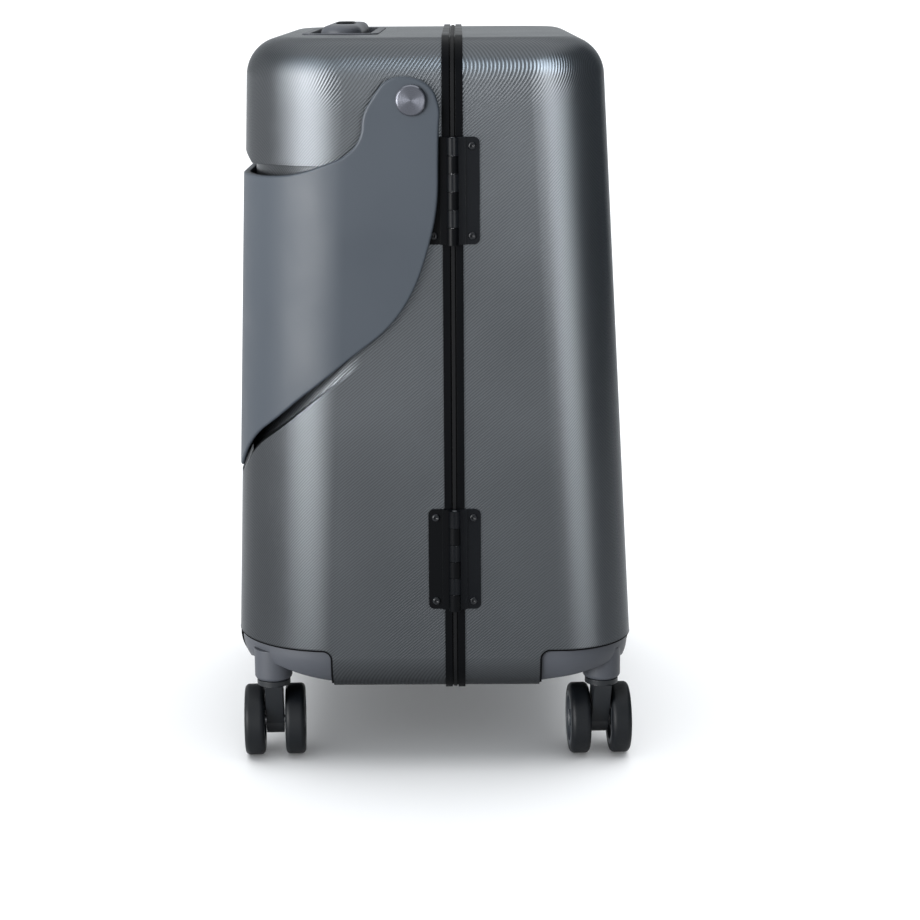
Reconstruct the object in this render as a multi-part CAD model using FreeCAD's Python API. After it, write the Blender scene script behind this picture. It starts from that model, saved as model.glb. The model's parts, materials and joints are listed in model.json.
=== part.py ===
import FreeCAD, Part
import math
import os

# A ride-on cabin suitcase: two drafted shells on a frame, a fold-over seat, a telescopic handle and casters.
# Millimetres. X runs from the front (minus) to the rear, Y from the hinge side (minus) to the latch side,
# Z up from the floor. Pieces are drawn with X measured from the frame plane and moved once when saved.

V = FreeCAD.Vector
FRONT = -1
REAR = 1
HINGE_SIDE = -1
LATCH_SIDE = 1
SIDES = (HINGE_SIDE, LATCH_SIDE)
OVERRUN = 40.0
TOUCH = 0.02
SLIP = 0.08
CLEAR = 0.3
STRAIGHT_TURN = 0.0001

# Driving dimensions of the case
CASE_WIDTH = 324.0
CASE_TOP = 459.5
CASE_BOTTOM = 53.0
FRONT_DEPTH = 141.7
REAR_DEPTH = 114.2
FRONT_LEAN = math.radians(2.2)
REAR_LEAN = math.radians(3.2)
FRONT_CORNER_RADIUS = 62.0
REAR_CORNER_RADIUS = 46.0
EDGE_RADIUS = 24.0
SHELL_WALL = 2.2
HALF_WIDTH = CASE_WIDTH / 2
DEPTHS = {FRONT: FRONT_DEPTH, REAR: REAR_DEPTH}
LEANS = {FRONT: FRONT_LEAN, REAR: REAR_LEAN}
CORNER_RADII = {FRONT: FRONT_CORNER_RADIUS, REAR: REAR_CORNER_RADIUS}


# Small geometry helpers
def span_box(xs, ys, zs):
    low = V(min(xs), min(ys), min(zs))
    return Part.makeBox(max(xs) - low.x, max(ys) - low.y, max(zs) - low.z, low)


def rod(radius, start, end):
    along = end - start
    return Part.makeCylinder(radius, along.Length, start, along)


def ring(outer_radius, inner_radius, start, end):
    along = end - start
    along.normalize()
    hole = rod(inner_radius, start - along * OVERRUN, end + along * OVERRUN)
    return rod(outer_radius, start, end).cut(hole)


def middle(edge):
    return edge.valueAt((edge.FirstParameter + edge.LastParameter) / 2)


def same(a, b):
    return abs(a - b) < TOUCH


def edges_at(shape, test):
    return [edge for edge in shape.Edges if test(middle(edge))]


def edges_along(shape, direction):
    chosen = []
    for edge in shape.Edges:
        run = edge.Vertexes[-1].Point - edge.Vertexes[0].Point
        if run.Length > TOUCH and same(abs(run.dot(direction)), run.Length):
            chosen.append(edge)
    return chosen


def rounded_bar(half_x, half_y, radius, low, high, centre_x, centre_y):
    xs = (centre_x - half_x, centre_x + half_x)
    ys = (centre_y - half_y, centre_y + half_y)
    bar = span_box(xs, ys, (low, high))
    return bar.makeFillet(radius, edges_along(bar, V(0, 0, 1)))


def side_prism(points, half_width):
    corners = [V(x, -half_width, z) for x, z in points]
    face = Part.Face(Part.makePolygon(corners + corners[:1]))
    return face.extrude(V(0, 2 * half_width, 0))


def mirror_y(shape):
    return shape.mirror(V(0, 0, 0), V(0, 1, 0))


# Smooth outlines in the side view: two tangent arcs between each pair of points
def arc_from(start, heading, end):
    chord = end - start
    along = V(chord).normalize()
    turn = math.atan2(heading.x * along.z - heading.z * along.x, heading.dot(along))
    if abs(turn) < STRAIGHT_TURN:
        return Part.makeLine(start, end)
    across = V(along.z, 0, -along.x)
    crown = (start + end) / 2 + across * (chord.Length / 2 * math.tan(turn / 2))
    return Part.Arc(start, crown, end).toShape()


def two_arcs(start, leaving, end, arriving):
    run = end - start
    swing = 2 * (1 - leaving.dot(arriving))
    reach = run.dot(leaving + arriving)
    arm = run.dot(run) / (math.sqrt(reach ** 2 + swing * run.dot(run)) + reach)
    near = start + leaving * arm
    far = end - arriving * arm
    joint = (near + far) / 2
    return [arc_from(start, leaving, joint), arc_from(joint, (far - near).normalize(), end)]


def smooth_outline(points, first_heading):
    # Inner points head along the circle through them and their neighbours, the last one along its arc.
    headings = [first_heading]
    for before, point, after in zip(points, points[1:], points[2:]):
        came = point - before
        goes = after - point
        headings.append((came * (goes.Length / came.Length) + goes * (came.Length / goes.Length)).normalize())
    chord = (points[-1] - points[-2]).normalize()
    headings.append(chord * (2 * chord.dot(headings[-1])) - headings[-1])
    edges = []
    for start, leaving, end, arriving in zip(points, headings, points[1:], headings[1:]):
        edges += two_arcs(start, leaving, end, arriving)
    return edges, headings[-1]


# Case body, shared by the shells, the recess, the housings, the lining and the straps
def face_x(half, z, inset):
    lean = LEANS[half]
    return half * (DEPTHS[half] - (z - CASE_BOTTOM) * math.tan(lean) - inset / math.cos(lean))


def drafted_block(half, start, face_inset, half_width, low, high, radius):
    low_end = face_x(half, low, face_inset)
    high_end = face_x(half, high, face_inset)
    block = side_prism([(start, low), (low_end, low), (high_end, high), (start, high)], half_width)

    def upright_corner(p):
        return same(p.x, face_x(half, p.z, face_inset)) and same(abs(p.y), half_width)

    return block.makeFillet(radius, edges_at(block, upright_corner))


def case_body(half, start, inset):
    low = CASE_BOTTOM + inset
    high = CASE_TOP - inset
    block = drafted_block(half, start, inset, HALF_WIDTH - inset, low, high, CORNER_RADII[half] - inset)

    def rim(p):
        return (same(p.z, low) or same(p.z, high)) and not same(p.x, start)

    return block.makeFillet(EDGE_RADIUS - inset, edges_at(block, rim))


def ring_block(offset, xs):
    half_width = HALF_WIDTH + offset
    block = span_box(xs, (-half_width, half_width), (CASE_BOTTOM - offset, CASE_TOP + offset))
    return block.makeFillet(EDGE_RADIUS + offset, edges_along(block, V(1, 0, 0)))


def reach_x(half):
    return face_x(half, CASE_BOTTOM + EDGE_RADIUS, EDGE_RADIUS) + half * EDGE_RADIUS


FRAME_X = -(reach_x(FRONT) + reach_x(REAR)) / 2

# Frame pair and seal
FRAME_WIDTH = 6.2
FRAME_PROUD = 1.35
FRAME_LIP = 1.2
FRAME_WEB = 1.6
FRAME_REBATE = 0.7
SEAL_WIDTH = 2.2
SEAL_PROUD = 0.9
SEAL_DEPTH = 3.4
SHELL_START = SEAL_WIDTH / 2 + TOUCH + FRAME_WEB + TOUCH


def frame_ring(half):
    start = half * (SEAL_WIDTH / 2 + TOUCH)
    end = half * FRAME_WIDTH
    groove = (half * (SHELL_START - TOUCH), end + half * OVERRUN)
    inner = SHELL_WALL + TOUCH + FRAME_LIP
    through = (start - half * OVERRUN, end + half * OVERRUN)
    body = ring_block(FRAME_PROUD, (start, end)).cut(ring_block(-inner, through))
    slot = ring_block(TOUCH, groove).cut(ring_block(-SHELL_WALL - TOUCH, groove))
    rebate_xs = (start - half * OVERRUN, start + half * FRAME_REBATE)
    rebate = ring_block(FRAME_PROUD + OVERRUN, rebate_xs)
    rebate = rebate.cut(ring_block(SEAL_PROUD - FRAME_REBATE, rebate_xs))
    return body.cut(slot).cut(rebate)


def frame_seal():
    xs = (-SEAL_WIDTH / 2, SEAL_WIDTH / 2)
    deep = (-SEAL_WIDTH / 2 - OVERRUN, SEAL_WIDTH / 2 + OVERRUN)
    return ring_block(SEAL_PROUD, xs).cut(ring_block(SEAL_PROUD - SEAL_DEPTH, deep))


# Fold-over seat: side outline around the pivot, cheeks outside the sides, front just proud of the shell
PIVOT_X = -24.4
PIVOT_DROP = 35.7
SEAT_REACH = 110.0
SEAT_DROP = 231.8
SEAT_WALL = 3.8
SEAT_GAP = 2.6
SEAT_CORNER_RADIUS = 66.0
SEAT_EDGE_RADIUS = 1.2
SEAT_FRONT_WALL = 4.0
SEAT_PROUD = 0.8
PIVOT_Z = CASE_TOP - PIVOT_DROP
# Outline points as shares of the reach and the drop, from the top of the front edge round the ear to the tip.
SEAT_OUTLINE_SHARES = (
    (-0.880, -0.199), (-0.541, -0.175), (-0.305, -0.116), (-0.232, -0.012), (-0.087, 0.058),
    (0.015, 0.057), (0.106, 0.032), (0.150, -0.016), (0.148, -0.078), (0.112, -0.334),
    (-0.054, -0.536), (-0.440, -0.702), (-0.693, -0.802), (-0.931, -0.920), (-1.008, -1.034),
)


def seat_point(shares):
    return V(PIVOT_X + SEAT_REACH * shares[0], 0, PIVOT_Z + SEAT_DROP * shares[1])


def seat_prism():
    points = [seat_point(shares) for shares in SEAT_OUTLINE_SHARES]
    first = points[0]
    last = points[-1]
    outside = face_x(FRONT, last.z, -SEAT_PROUD) - OVERRUN
    curve, slope = smooth_outline(points, V(1, 0, 0))
    past = last + slope * ((outside - last.x) / slope.x)
    before = V(outside, 0, first.z)
    lines = [Part.makeLine(last, past), Part.makeLine(past, before), Part.makeLine(before, first)]
    face = Part.Face(Part.Wire(curve + lines))
    face.translate(V(0, -HALF_WIDTH - OVERRUN, 0))
    return face.extrude(V(0, CASE_WIDTH + 2 * OVERRUN, 0))


def rim_of(edge, outer):
    # The panel's outline on its outer skin, without the seams where a flat side runs into a corner.
    on_skin = Part.Vertex(middle(edge)).distToShape(outer.Shells[0])[0] < TOUCH
    seam = isinstance(edge.Curve, Part.Line) and not same(abs(edge.Curve.Direction.y), 1)
    return on_skin and not seam


def seat_panel():
    inner_half = HALF_WIDTH + SEAT_GAP
    outer_half = inner_half + SEAT_WALL
    low = PIVOT_Z - SEAT_DROP
    high = PIVOT_Z + OVERRUN
    start = PIVOT_X + SEAT_REACH
    outer = drafted_block(FRONT, start, -SEAT_PROUD, outer_half, low, high, SEAT_CORNER_RADIUS)
    inner = drafted_block(FRONT, start + OVERRUN, SEAT_FRONT_WALL - SEAT_PROUD, inner_half, low - OVERRUN,
                          high + OVERRUN, SEAT_CORNER_RADIUS - SEAT_WALL)
    panel = outer.cut(inner).common(seat_prism())
    panel = panel.makeFillet(SEAT_EDGE_RADIUS, [edge for edge in panel.Edges if rim_of(edge, outer)])
    return panel.cut(rod(BUSH_RADIUS + SLIP, pivot(-CASE_WIDTH), pivot(CASE_WIDTH)))


# Seat pivots: a flanged bush, a bolt with a brushed round head and a nut inside the shell, on each side
BUSH_RADIUS = 5.5
BUSH_FLANGE_RADIUS = 9.0
BOLT_RADIUS = 3.5
BOLT_HEAD_RADIUS = 9.1
BOLT_HEAD_HEIGHT = 2.3
BOLT_HEAD_BEVEL = 0.9
NUT_RADIUS = 6.5
NUT_HEIGHT = 4.0
CHEEK_IN = HALF_WIDTH + SEAT_GAP
CHEEK_OUT = CHEEK_IN + SEAT_WALL
BOLT_HEAD_OUT = CHEEK_OUT + CLEAR + BOLT_HEAD_HEIGHT


def pivot(y):
    return V(PIVOT_X, y, PIVOT_Z)


def seat_pivot_bush():
    flange = rod(BUSH_FLANGE_RADIUS, pivot(HALF_WIDTH), pivot(CHEEK_IN - CLEAR))
    sleeve = rod(BUSH_RADIUS, pivot(HALF_WIDTH), pivot(CHEEK_OUT + CLEAR))
    return flange.fuse(sleeve).cut(rod(BOLT_RADIUS + TOUCH, pivot(0), pivot(CASE_WIDTH))).removeSplitter()


def seat_pivot_bolt():
    head = rod(BOLT_HEAD_RADIUS, pivot(CHEEK_OUT + CLEAR), pivot(BOLT_HEAD_OUT))
    rim = edges_at(head, lambda p: same(p.y, BOLT_HEAD_OUT))
    head = head.makeChamfer(BOLT_HEAD_BEVEL, rim)
    return head.fuse(rod(BOLT_RADIUS, pivot(HALF_WIDTH - SHELL_WALL - NUT_HEIGHT), pivot(CHEEK_OUT + CLEAR)))


def seat_pivot_nut():
    inside = HALF_WIDTH - SHELL_WALL
    return ring(NUT_RADIUS, BOLT_RADIUS + TOUCH, pivot(inside - NUT_HEIGHT), pivot(inside))


# Recess in the front shell for the seat panel
RECESS_DEPTH = 6.1
RECESS_CORNER_RADIUS = 70.0
RECESS_TOP_GAP = 6.6
RECESS_LIP_RISE = 7.7
RECESS_END = 3.0
# Lower lip as shares of the seat's reach and drop, from the tip up to where the recess runs out.
LIP_SHARES = ((-1.005, -1.019), (-0.922, -0.944), (-0.693, -0.841), (-0.440, -0.741))


def recess_prism(grow):
    top = seat_point(SEAT_OUTLINE_SHARES[0]).z + RECESS_TOP_GAP + grow
    floor_x = face_x(FRONT, top, RECESS_DEPTH + grow)
    outside = face_x(FRONT, CASE_BOTTOM, 0) - OVERRUN
    slope = RECESS_LIP_RISE / RECESS_DEPTH
    end_x = face_x(FRONT, top, RECESS_DEPTH) + RECESS_CORNER_RADIUS - RECESS_END + grow
    points = [seat_point(shares) - V(0, 0, grow) for shares in LIP_SHARES]
    tip = points[0]
    end = points[-1]
    lip, run = smooth_outline(points, (points[1] - tip).normalize())
    far = end + run * ((end_x - end.x) / run.x)
    corners = [far, V(end_x, 0, top), V(floor_x, 0, top), V(outside, 0, top + (floor_x - outside) * slope),
               V(outside, 0, tip.z), tip]
    lines = [Part.makeLine(end, far)] + [Part.makeLine(a, b) for a, b in zip(corners, corners[1:])]
    face = Part.Face(Part.Wire(lip + lines))
    face.translate(V(0, -CASE_WIDTH, 0))
    return face.extrude(V(0, 2 * CASE_WIDTH, 0))


def recess_tool(grow):
    low = CASE_BOTTOM + EDGE_RADIUS
    core = drafted_block(FRONT, 0, RECESS_DEPTH + grow, HALF_WIDTH - grow, low, CASE_TOP,
                         RECESS_CORNER_RADIUS - grow)
    return recess_prism(grow).cut(core)


# Corner housings of the casters, dished round the swivel, and the pocket each one fills in its shell
FRONT_HOUSING_LENGTH = 64.0
REAR_HOUSING_LENGTH = 60.5
HOUSING_HEIGHT = 29.0
HOUSING_ROUND = 6.0
HOUSING_WALL = 3.2
HOUSING_GAP = 0.4
HOUSING_INSET = 1.9
FRONT_CASTER_INSET = 24.7
REAR_CASTER_INSET = 20.5
CASTER_SIDE_INSET = 28.0
DISH_RADIUS = 60.0
DISH_RISE = 16.0
BOSS_RADIUS = 12.0
BOSS_LIFT = 3.0
BOSS_ROUND = 2.5
BOSS_HEIGHT = 23.5
KINGPIN_RADIUS = 4.0
KINGPIN_HEAD_RADIUS = 6.0
KINGPIN_HEAD = 2.5
KINGPIN_REACH = 12.0
HOUSING_LENGTHS = {FRONT: FRONT_HOUSING_LENGTH, REAR: REAR_HOUSING_LENGTH}
CASTER_INSETS = {FRONT: FRONT_CASTER_INSET, REAR: REAR_CASTER_INSET}
HOUSING_TOP = CASE_BOTTOM + HOUSING_HEIGHT
BOSS_LOW = CASE_BOTTOM + BOSS_LIFT
BOSS_TOP = CASE_BOTTOM + BOSS_HEIGHT
FORK_TOP = BOSS_LOW - CLEAR
KINGPIN_LOW = FORK_TOP - KINGPIN_REACH


def caster_x(half):
    return face_x(half, CASE_BOTTOM, 0) - half * CASTER_INSETS[half]


def caster_point(half, side, z):
    return V(caster_x(half), side * (HALF_WIDTH - CASTER_SIDE_INSET), z)


def caster_rod(half, side, radius, low, high):
    return rod(radius, caster_point(half, side, low), caster_point(half, side, high))


def corner_block(half, side, grow):
    length = HOUSING_LENGTHS[half] + grow
    inner_x = face_x(half, CASE_BOTTOM, 0) - half * length
    inner_y = side * (HALF_WIDTH - length)
    top = HOUSING_TOP + grow
    block = span_box((inner_x, half * (DEPTHS[half] + OVERRUN)), (inner_y, side * (HALF_WIDTH + OVERRUN)),
                     (CASE_BOTTOM - OVERRUN, top))

    def inner_edge(p):
        return [same(p.x, inner_x), same(p.y, inner_y), same(p.z, top)].count(True) == 2

    return block.makeFillet(HOUSING_ROUND + grow, edges_at(block, inner_edge))


def swivel_dish(half, side, grow):
    start = caster_point(half, side, CASE_BOTTOM)
    cone = Part.makeCone(DISH_RADIUS + grow, BOSS_RADIUS + grow, DISH_RISE, start)
    lid = rod(BOSS_RADIUS + grow, start, start + V(0, 0, DISH_RISE + grow))
    skirt = rod(DISH_RADIUS + grow, start - V(0, 0, OVERRUN), start)
    return cone.fuse([lid, skirt])


def caster_collar(half, side, bottom, top):
    collar = caster_rod(half, side, BOSS_RADIUS, bottom, top)
    return collar.makeFillet(BOSS_ROUND, edges_at(collar, lambda p: same(p.z, bottom)))


def caster_housing(half, side):
    outer = case_body(half, 0, HOUSING_INSET).cut(swivel_dish(half, side, 0))
    hollow = case_body(half, 0, HOUSING_INSET + HOUSING_WALL).cut(swivel_dish(half, side, HOUSING_WALL))
    corner = outer.cut(hollow).common(corner_block(half, side, 0))
    bore = caster_rod(half, side, KINGPIN_RADIUS + TOUCH, 0, CASE_TOP)
    head_room = caster_rod(half, side, KINGPIN_HEAD_RADIUS + CLEAR, BOSS_TOP, CASE_TOP)
    housing = corner.fuse(caster_collar(half, side, BOSS_LOW, BOSS_TOP))
    return housing.cut(bore).cut(head_room).removeSplitter()


def kingpin(half, side):
    pin = caster_rod(half, side, KINGPIN_RADIUS, KINGPIN_LOW, BOSS_TOP)
    return pin.fuse(caster_rod(half, side, KINGPIN_HEAD_RADIUS, BOSS_TOP, BOSS_TOP + KINGPIN_HEAD))


# Twin-wheel casters
WHEEL_RADIUS = 23.0
WHEEL_WIDTH = 12.8
WHEEL_GAP = 13.4
TYRE_THICKNESS = 5.2
TYRE_ROUND = 3.0
HUB_DISH = 2.0
HUB_RIM = 3.0
HUB_BOSS_RADIUS = 5.5
AXLE_RADIUS = 2.5
CASTER_TRAIL = 13.0
CASTER_YAWS = {
    (FRONT, HINGE_SIDE): 3.0,
    (REAR, HINGE_SIDE): 3.0,
    (FRONT, LATCH_SIDE): -5.0,
    (REAR, LATCH_SIDE): 4.0,
}
FORK_RADIUS = 10.6
FORK_PLATE = 3.4
FORK_HALF = 5.6
FORK_BOSS_RADIUS = 9.0
WHEEL_REACH = WHEEL_GAP / 2 + WHEEL_WIDTH


def turned(shape, half, side):
    turned_shape = shape.copy()
    turned_shape.rotate(V(0, 0, 0), V(0, 0, 1), CASTER_YAWS[(half, side)])
    turned_shape.translate(caster_point(half, side, 0))
    return turned_shape


def fork():
    axle = V(-FORK_HALF, CASTER_TRAIL, WHEEL_RADIUS)
    across = V(2 * FORK_HALF, 0, 0)
    low = FORK_TOP - FORK_PLATE
    plate = rod(FORK_RADIUS, V(0, 0, low), V(0, 0, FORK_TOP))
    boss = rod(FORK_BOSS_RADIUS, axle, axle + across)
    corners = [V(-FORK_HALF, -FORK_RADIUS, low), V(-FORK_HALF, FORK_RADIUS, low),
               axle + V(0, FORK_BOSS_RADIUS, 0), axle - V(0, FORK_BOSS_RADIUS, 0)]
    web = Part.Face(Part.makePolygon(corners + corners[:1])).extrude(across)
    body = plate.fuse([boss, web])
    socket = rod(KINGPIN_RADIUS + SLIP, V(0, 0, KINGPIN_LOW - CLEAR), V(0, 0, FORK_TOP + OVERRUN))
    bore = rod(AXLE_RADIUS + SLIP, axle - across, axle + across * 2)
    return body.cut(socket).cut(bore).removeSplitter()


def wheel_ring(outer, inner, start, width):
    centre = V(start, CASTER_TRAIL, WHEEL_RADIUS)
    return ring(outer, inner, centre, centre + V(width, 0, 0))


def tyre(start):
    band = wheel_ring(WHEEL_RADIUS, WHEEL_RADIUS - TYRE_THICKNESS, start, WHEEL_WIDTH)
    shoulders = [edge for edge in band.Edges if same(edge.BoundBox.YLength, 2 * WHEEL_RADIUS)]
    return band.makeFillet(TYRE_ROUND, shoulders)


def hub(start):
    radius = WHEEL_RADIUS - TYRE_THICKNESS - TOUCH
    disc = wheel_ring(radius, AXLE_RADIUS + TOUCH, start, WHEEL_WIDTH)
    for face_at in (start - OVERRUN, start + WHEEL_WIDTH - HUB_DISH):
        disc = disc.cut(wheel_ring(radius - HUB_RIM, HUB_BOSS_RADIUS, face_at, OVERRUN + HUB_DISH))
    return disc


def axle():
    centre = V(0, CASTER_TRAIL, WHEEL_RADIUS)
    return rod(AXLE_RADIUS, centre - V(WHEEL_REACH, 0, 0), centre + V(WHEEL_REACH, 0, 0))


WHEEL_STARTS = (-WHEEL_REACH, WHEEL_GAP / 2)

# Hinges on the hinge side: leaves on the shells, stepping over the frame to a knuckled barrel
HINGE_HEIGHT = 64.0
UPPER_HINGE_DROP = 89.5
LOWER_HINGE_RISE = 89.0
HINGE_REACH = 16.2
LEAF_THICKNESS = 1.2
LEAF_ROUND = 3.5
KNUCKLE_RADIUS = 3.6
KNUCKLE_COUNT = 6
KNUCKLE_GAP = 0.25
PIN_RADIUS = 1.5
RIVET_RADIUS = 1.5
RIVET_HEAD_RADIUS = 2.6
RIVET_HEAD = 0.8
RIVET_SPREAD = 53.5
RIVET_X = 11.6
HINGE_CENTRES = {"upper": CASE_TOP - UPPER_HINGE_DROP, "lower": CASE_BOTTOM + LOWER_HINGE_RISE}
HINGE_Y = -(HALF_WIDTH + FRAME_PROUD + CLEAR + KNUCKLE_RADIUS)
LEAF_OUT = HALF_WIDTH + TOUCH + LEAF_THICKNESS
STEP_IN = HALF_WIDTH + FRAME_PROUD + TOUCH
STEP_OUT = STEP_IN + LEAF_THICKNESS


def hinge_leaf(half, centre):
    low = centre - HINGE_HEIGHT / 2
    high = centre + HINGE_HEIGHT / 2
    flat_start = FRAME_WIDTH + CLEAR
    plate = span_box((half * flat_start, half * HINGE_REACH), (-HALF_WIDTH - TOUCH, -STEP_OUT), (low, high))
    corners = edges_along(plate, V(0, 1, 0))
    outer = [edge for edge in corners if same(abs(middle(edge).x), HINGE_REACH)]
    plate = plate.makeFillet(LEAF_ROUND, outer)
    thin = span_box((half * (flat_start + LEAF_THICKNESS), half * (HINGE_REACH + OVERRUN)),
                    (-LEAF_OUT, -STEP_OUT - OVERRUN), (low - OVERRUN, high + OVERRUN))
    plate = plate.cut(thin)
    step_xs = (half * PIN_RADIUS, half * (flat_start + LEAF_THICKNESS))
    step = span_box(step_xs, (-STEP_IN, -STEP_OUT), (low, high))
    pitch = HINGE_HEIGHT / KNUCKLE_COUNT
    leaf = plate.fuse([step, rod(KNUCKLE_RADIUS, V(0, HINGE_Y, low), V(0, HINGE_Y, high))])
    first_other = 1 if half == FRONT else 0
    for index in range(first_other, KNUCKLE_COUNT, 2):
        notch = rod(KNUCKLE_RADIUS + CLEAR, V(0, HINGE_Y, low + index * pitch - KNUCKLE_GAP / 2),
                    V(0, HINGE_Y, low + (index + 1) * pitch + KNUCKLE_GAP / 2))
        leaf = leaf.cut(notch)
    bore = PIN_RADIUS + (TOUCH if half == FRONT else SLIP)
    leaf = leaf.cut(rod(bore, V(0, HINGE_Y, 0), V(0, HINGE_Y, CASE_TOP)))
    for spot in rivet_spots(half, centre):
        leaf = leaf.cut(rivet_hole(spot))
    return leaf.removeSplitter()


def rivet_spots(half, centre):
    return [V(half * RIVET_X, -LEAF_OUT, centre + sign * RIVET_SPREAD / 2) for sign in (-1, 1)]


def rivet_hole(spot):
    return rod(RIVET_RADIUS + TOUCH, spot + V(0, -OVERRUN, 0), spot + V(0, OVERRUN, 0))


def rivet(spot):
    head = rod(RIVET_HEAD_RADIUS, spot, spot - V(0, RIVET_HEAD, 0))
    head = head.makeFillet(RIVET_HEAD - TOUCH, edges_at(head, lambda p: same(p.y, spot.y - RIVET_HEAD)))
    return head.fuse(rod(RIVET_RADIUS, spot, spot + V(0, LEAF_THICKNESS + SHELL_WALL, 0)))


def hinge_rivets(half):
    spots = [spot for centre in HINGE_CENTRES.values() for spot in rivet_spots(half, centre)]
    return [rivet(spot) for spot in spots]


def hinge_pins():
    reach = V(0, 0, HINGE_HEIGHT / 2)
    centres = [V(0, HINGE_Y, z) for z in HINGE_CENTRES.values()]
    return [rod(PIN_RADIUS, centre - reach, centre + reach) for centre in centres]


# Latches on the far side: base and lever on the rear half, strike on the front frame
LATCH_LENGTH = 26.0
LATCH_HEIGHT = 32.0
LATCH_BASE = 1.5
LATCH_LUG = 3.0
LATCH_ROUND = 3.0
LATCH_PIN_RADIUS = 1.3
LATCH_BARREL_RADIUS = 2.7
LEVER_HEIGHT = 22.0
LEVER_THICKNESS = 2.4
LEVER_TIP = 5.8
STRIKE_HEIGHT = 16.0
STRIKE_THICKNESS = 1.8
STRIKE_WIDTH = 3.6
LATCH_START = FRAME_WIDTH + CLEAR
LATCH_END = LATCH_START + LATCH_LENGTH
LATCH_PIN_X = LATCH_END - LATCH_LUG - LATCH_BARREL_RADIUS
STRIKE_IN = HALF_WIDTH + FRAME_PROUD
LEVER_IN = STRIKE_IN + STRIKE_THICKNESS + CLEAR
LATCH_PIN_Y = LEVER_IN + LATCH_BARREL_RADIUS


def latch_pin_line(centre, radius, reach):
    low = V(LATCH_PIN_X, LATCH_PIN_Y, centre - reach)
    return rod(radius, low, low + V(0, 0, 2 * reach))


def latch_base(centre):
    low = centre - LATCH_HEIGHT / 2
    high = centre + LATCH_HEIGHT / 2
    plate = span_box((LATCH_START, LATCH_END), (HALF_WIDTH, HALF_WIDTH + LATCH_BASE), (low, high))
    plate = plate.makeFillet(LATCH_ROUND, edges_along(plate, V(0, 1, 0)))
    pieces = []
    for end in (-1, 1):
        near = centre + end * (LEVER_HEIGHT / 2 + CLEAR)
        far = near + end * LATCH_LUG
        post = span_box((LATCH_PIN_X - LATCH_BARREL_RADIUS, LATCH_PIN_X + LATCH_BARREL_RADIUS),
                        (HALF_WIDTH, LATCH_PIN_Y), (near, far))
        eye = rod(LATCH_BARREL_RADIUS, V(LATCH_PIN_X, LATCH_PIN_Y, near), V(LATCH_PIN_X, LATCH_PIN_Y, far))
        pieces += [post, eye]
    pin_hole = latch_pin_line(centre, LATCH_PIN_RADIUS + TOUCH, LATCH_HEIGHT)
    return plate.fuse(pieces).cut(pin_hole).removeSplitter()


def latch_lever(centre):
    half_height = LEVER_HEIGHT / 2
    zs = (centre - half_height, centre + half_height)
    plate = span_box((-LEVER_TIP, LATCH_PIN_X), (LEVER_IN, LEVER_IN + LEVER_THICKNESS), zs)
    tip_edges = [edge for edge in edges_along(plate, V(0, 1, 0)) if same(middle(edge).x, -LEVER_TIP)]
    plate = plate.makeFillet(LATCH_ROUND, tip_edges)
    barrel = latch_pin_line(centre, LATCH_BARREL_RADIUS, half_height)
    pin_hole = latch_pin_line(centre, LATCH_PIN_RADIUS + SLIP, LATCH_HEIGHT)
    return plate.fuse(barrel).cut(pin_hole).removeSplitter()


def latch_strike(centre):
    end = -FRAME_WIDTH
    return span_box((end, end + STRIKE_WIDTH), (STRIKE_IN, STRIKE_IN + STRIKE_THICKNESS),
                    (centre - STRIKE_HEIGHT / 2, centre + STRIKE_HEIGHT / 2))


# Carry handle on the latch side of the rear half: a bar on two legs that pull out through their mounts
CARRY_GAP = 1.5
CARRY_SPREAD = 116.0
CARRY_LENGTH = 140.0
CARRY_WIDTH = 22.0
CARRY_THICKNESS = 4.4
CARRY_ROUND = 2.0
CARRY_CORNER = 6.0
CARRY_TRAVEL = 16.0
CARRY_LEG_RADIUS = 3.0
CARRY_HEAD_RADIUS = 5.5
CARRY_HEAD = 2.4
MOUNT_THICKNESS = 1.8
MOUNT_WIDTH = 28.0
MOUNT_LENGTH = 30.0
CARRY_X = LATCH_END + CARRY_GAP + MOUNT_WIDTH / 2
CARRY_Z = sum(HINGE_CENTRES.values()) / len(HINGE_CENTRES)
CARRY_IN = HALF_WIDTH + MOUNT_THICKNESS + CLEAR
CARRY_LEG_END = HALF_WIDTH - SHELL_WALL - CARRY_TRAVEL - CLEAR
CARRY_ZS = (CARRY_Z - CARRY_SPREAD / 2, CARRY_Z + CARRY_SPREAD / 2)


def carry_line(z, radius, start, end):
    return rod(radius, V(CARRY_X, start, z), V(CARRY_X, end, z))


def carry_plate(width, length, z, inside, outside):
    xs = (CARRY_X - width / 2, CARRY_X + width / 2)
    plate = span_box(xs, (inside, outside), (z - length / 2, z + length / 2))
    return plate.makeFillet(CARRY_CORNER, edges_along(plate, V(0, 1, 0)))


def carry_mount(z):
    plate = carry_plate(MOUNT_WIDTH, MOUNT_LENGTH, z, HALF_WIDTH, HALF_WIDTH + MOUNT_THICKNESS)
    return plate.cut(carry_line(z, CARRY_LEG_RADIUS + SLIP, 0, CASE_WIDTH))


def carry_handle():
    outside = CARRY_IN + CARRY_THICKNESS
    bar = carry_plate(CARRY_WIDTH, CARRY_LENGTH, CARRY_Z, CARRY_IN, outside)
    bar = bar.makeFillet(CARRY_ROUND, edges_at(bar, lambda p: same(p.y, outside)))
    return bar.fuse([carry_line(z, CARRY_LEG_RADIUS, CARRY_LEG_END, CARRY_IN) for z in CARRY_ZS])


def carry_heads():
    return [carry_line(z, CARRY_HEAD_RADIUS, CARRY_LEG_END - CARRY_HEAD, CARRY_LEG_END) for z in CARRY_ZS]


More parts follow.
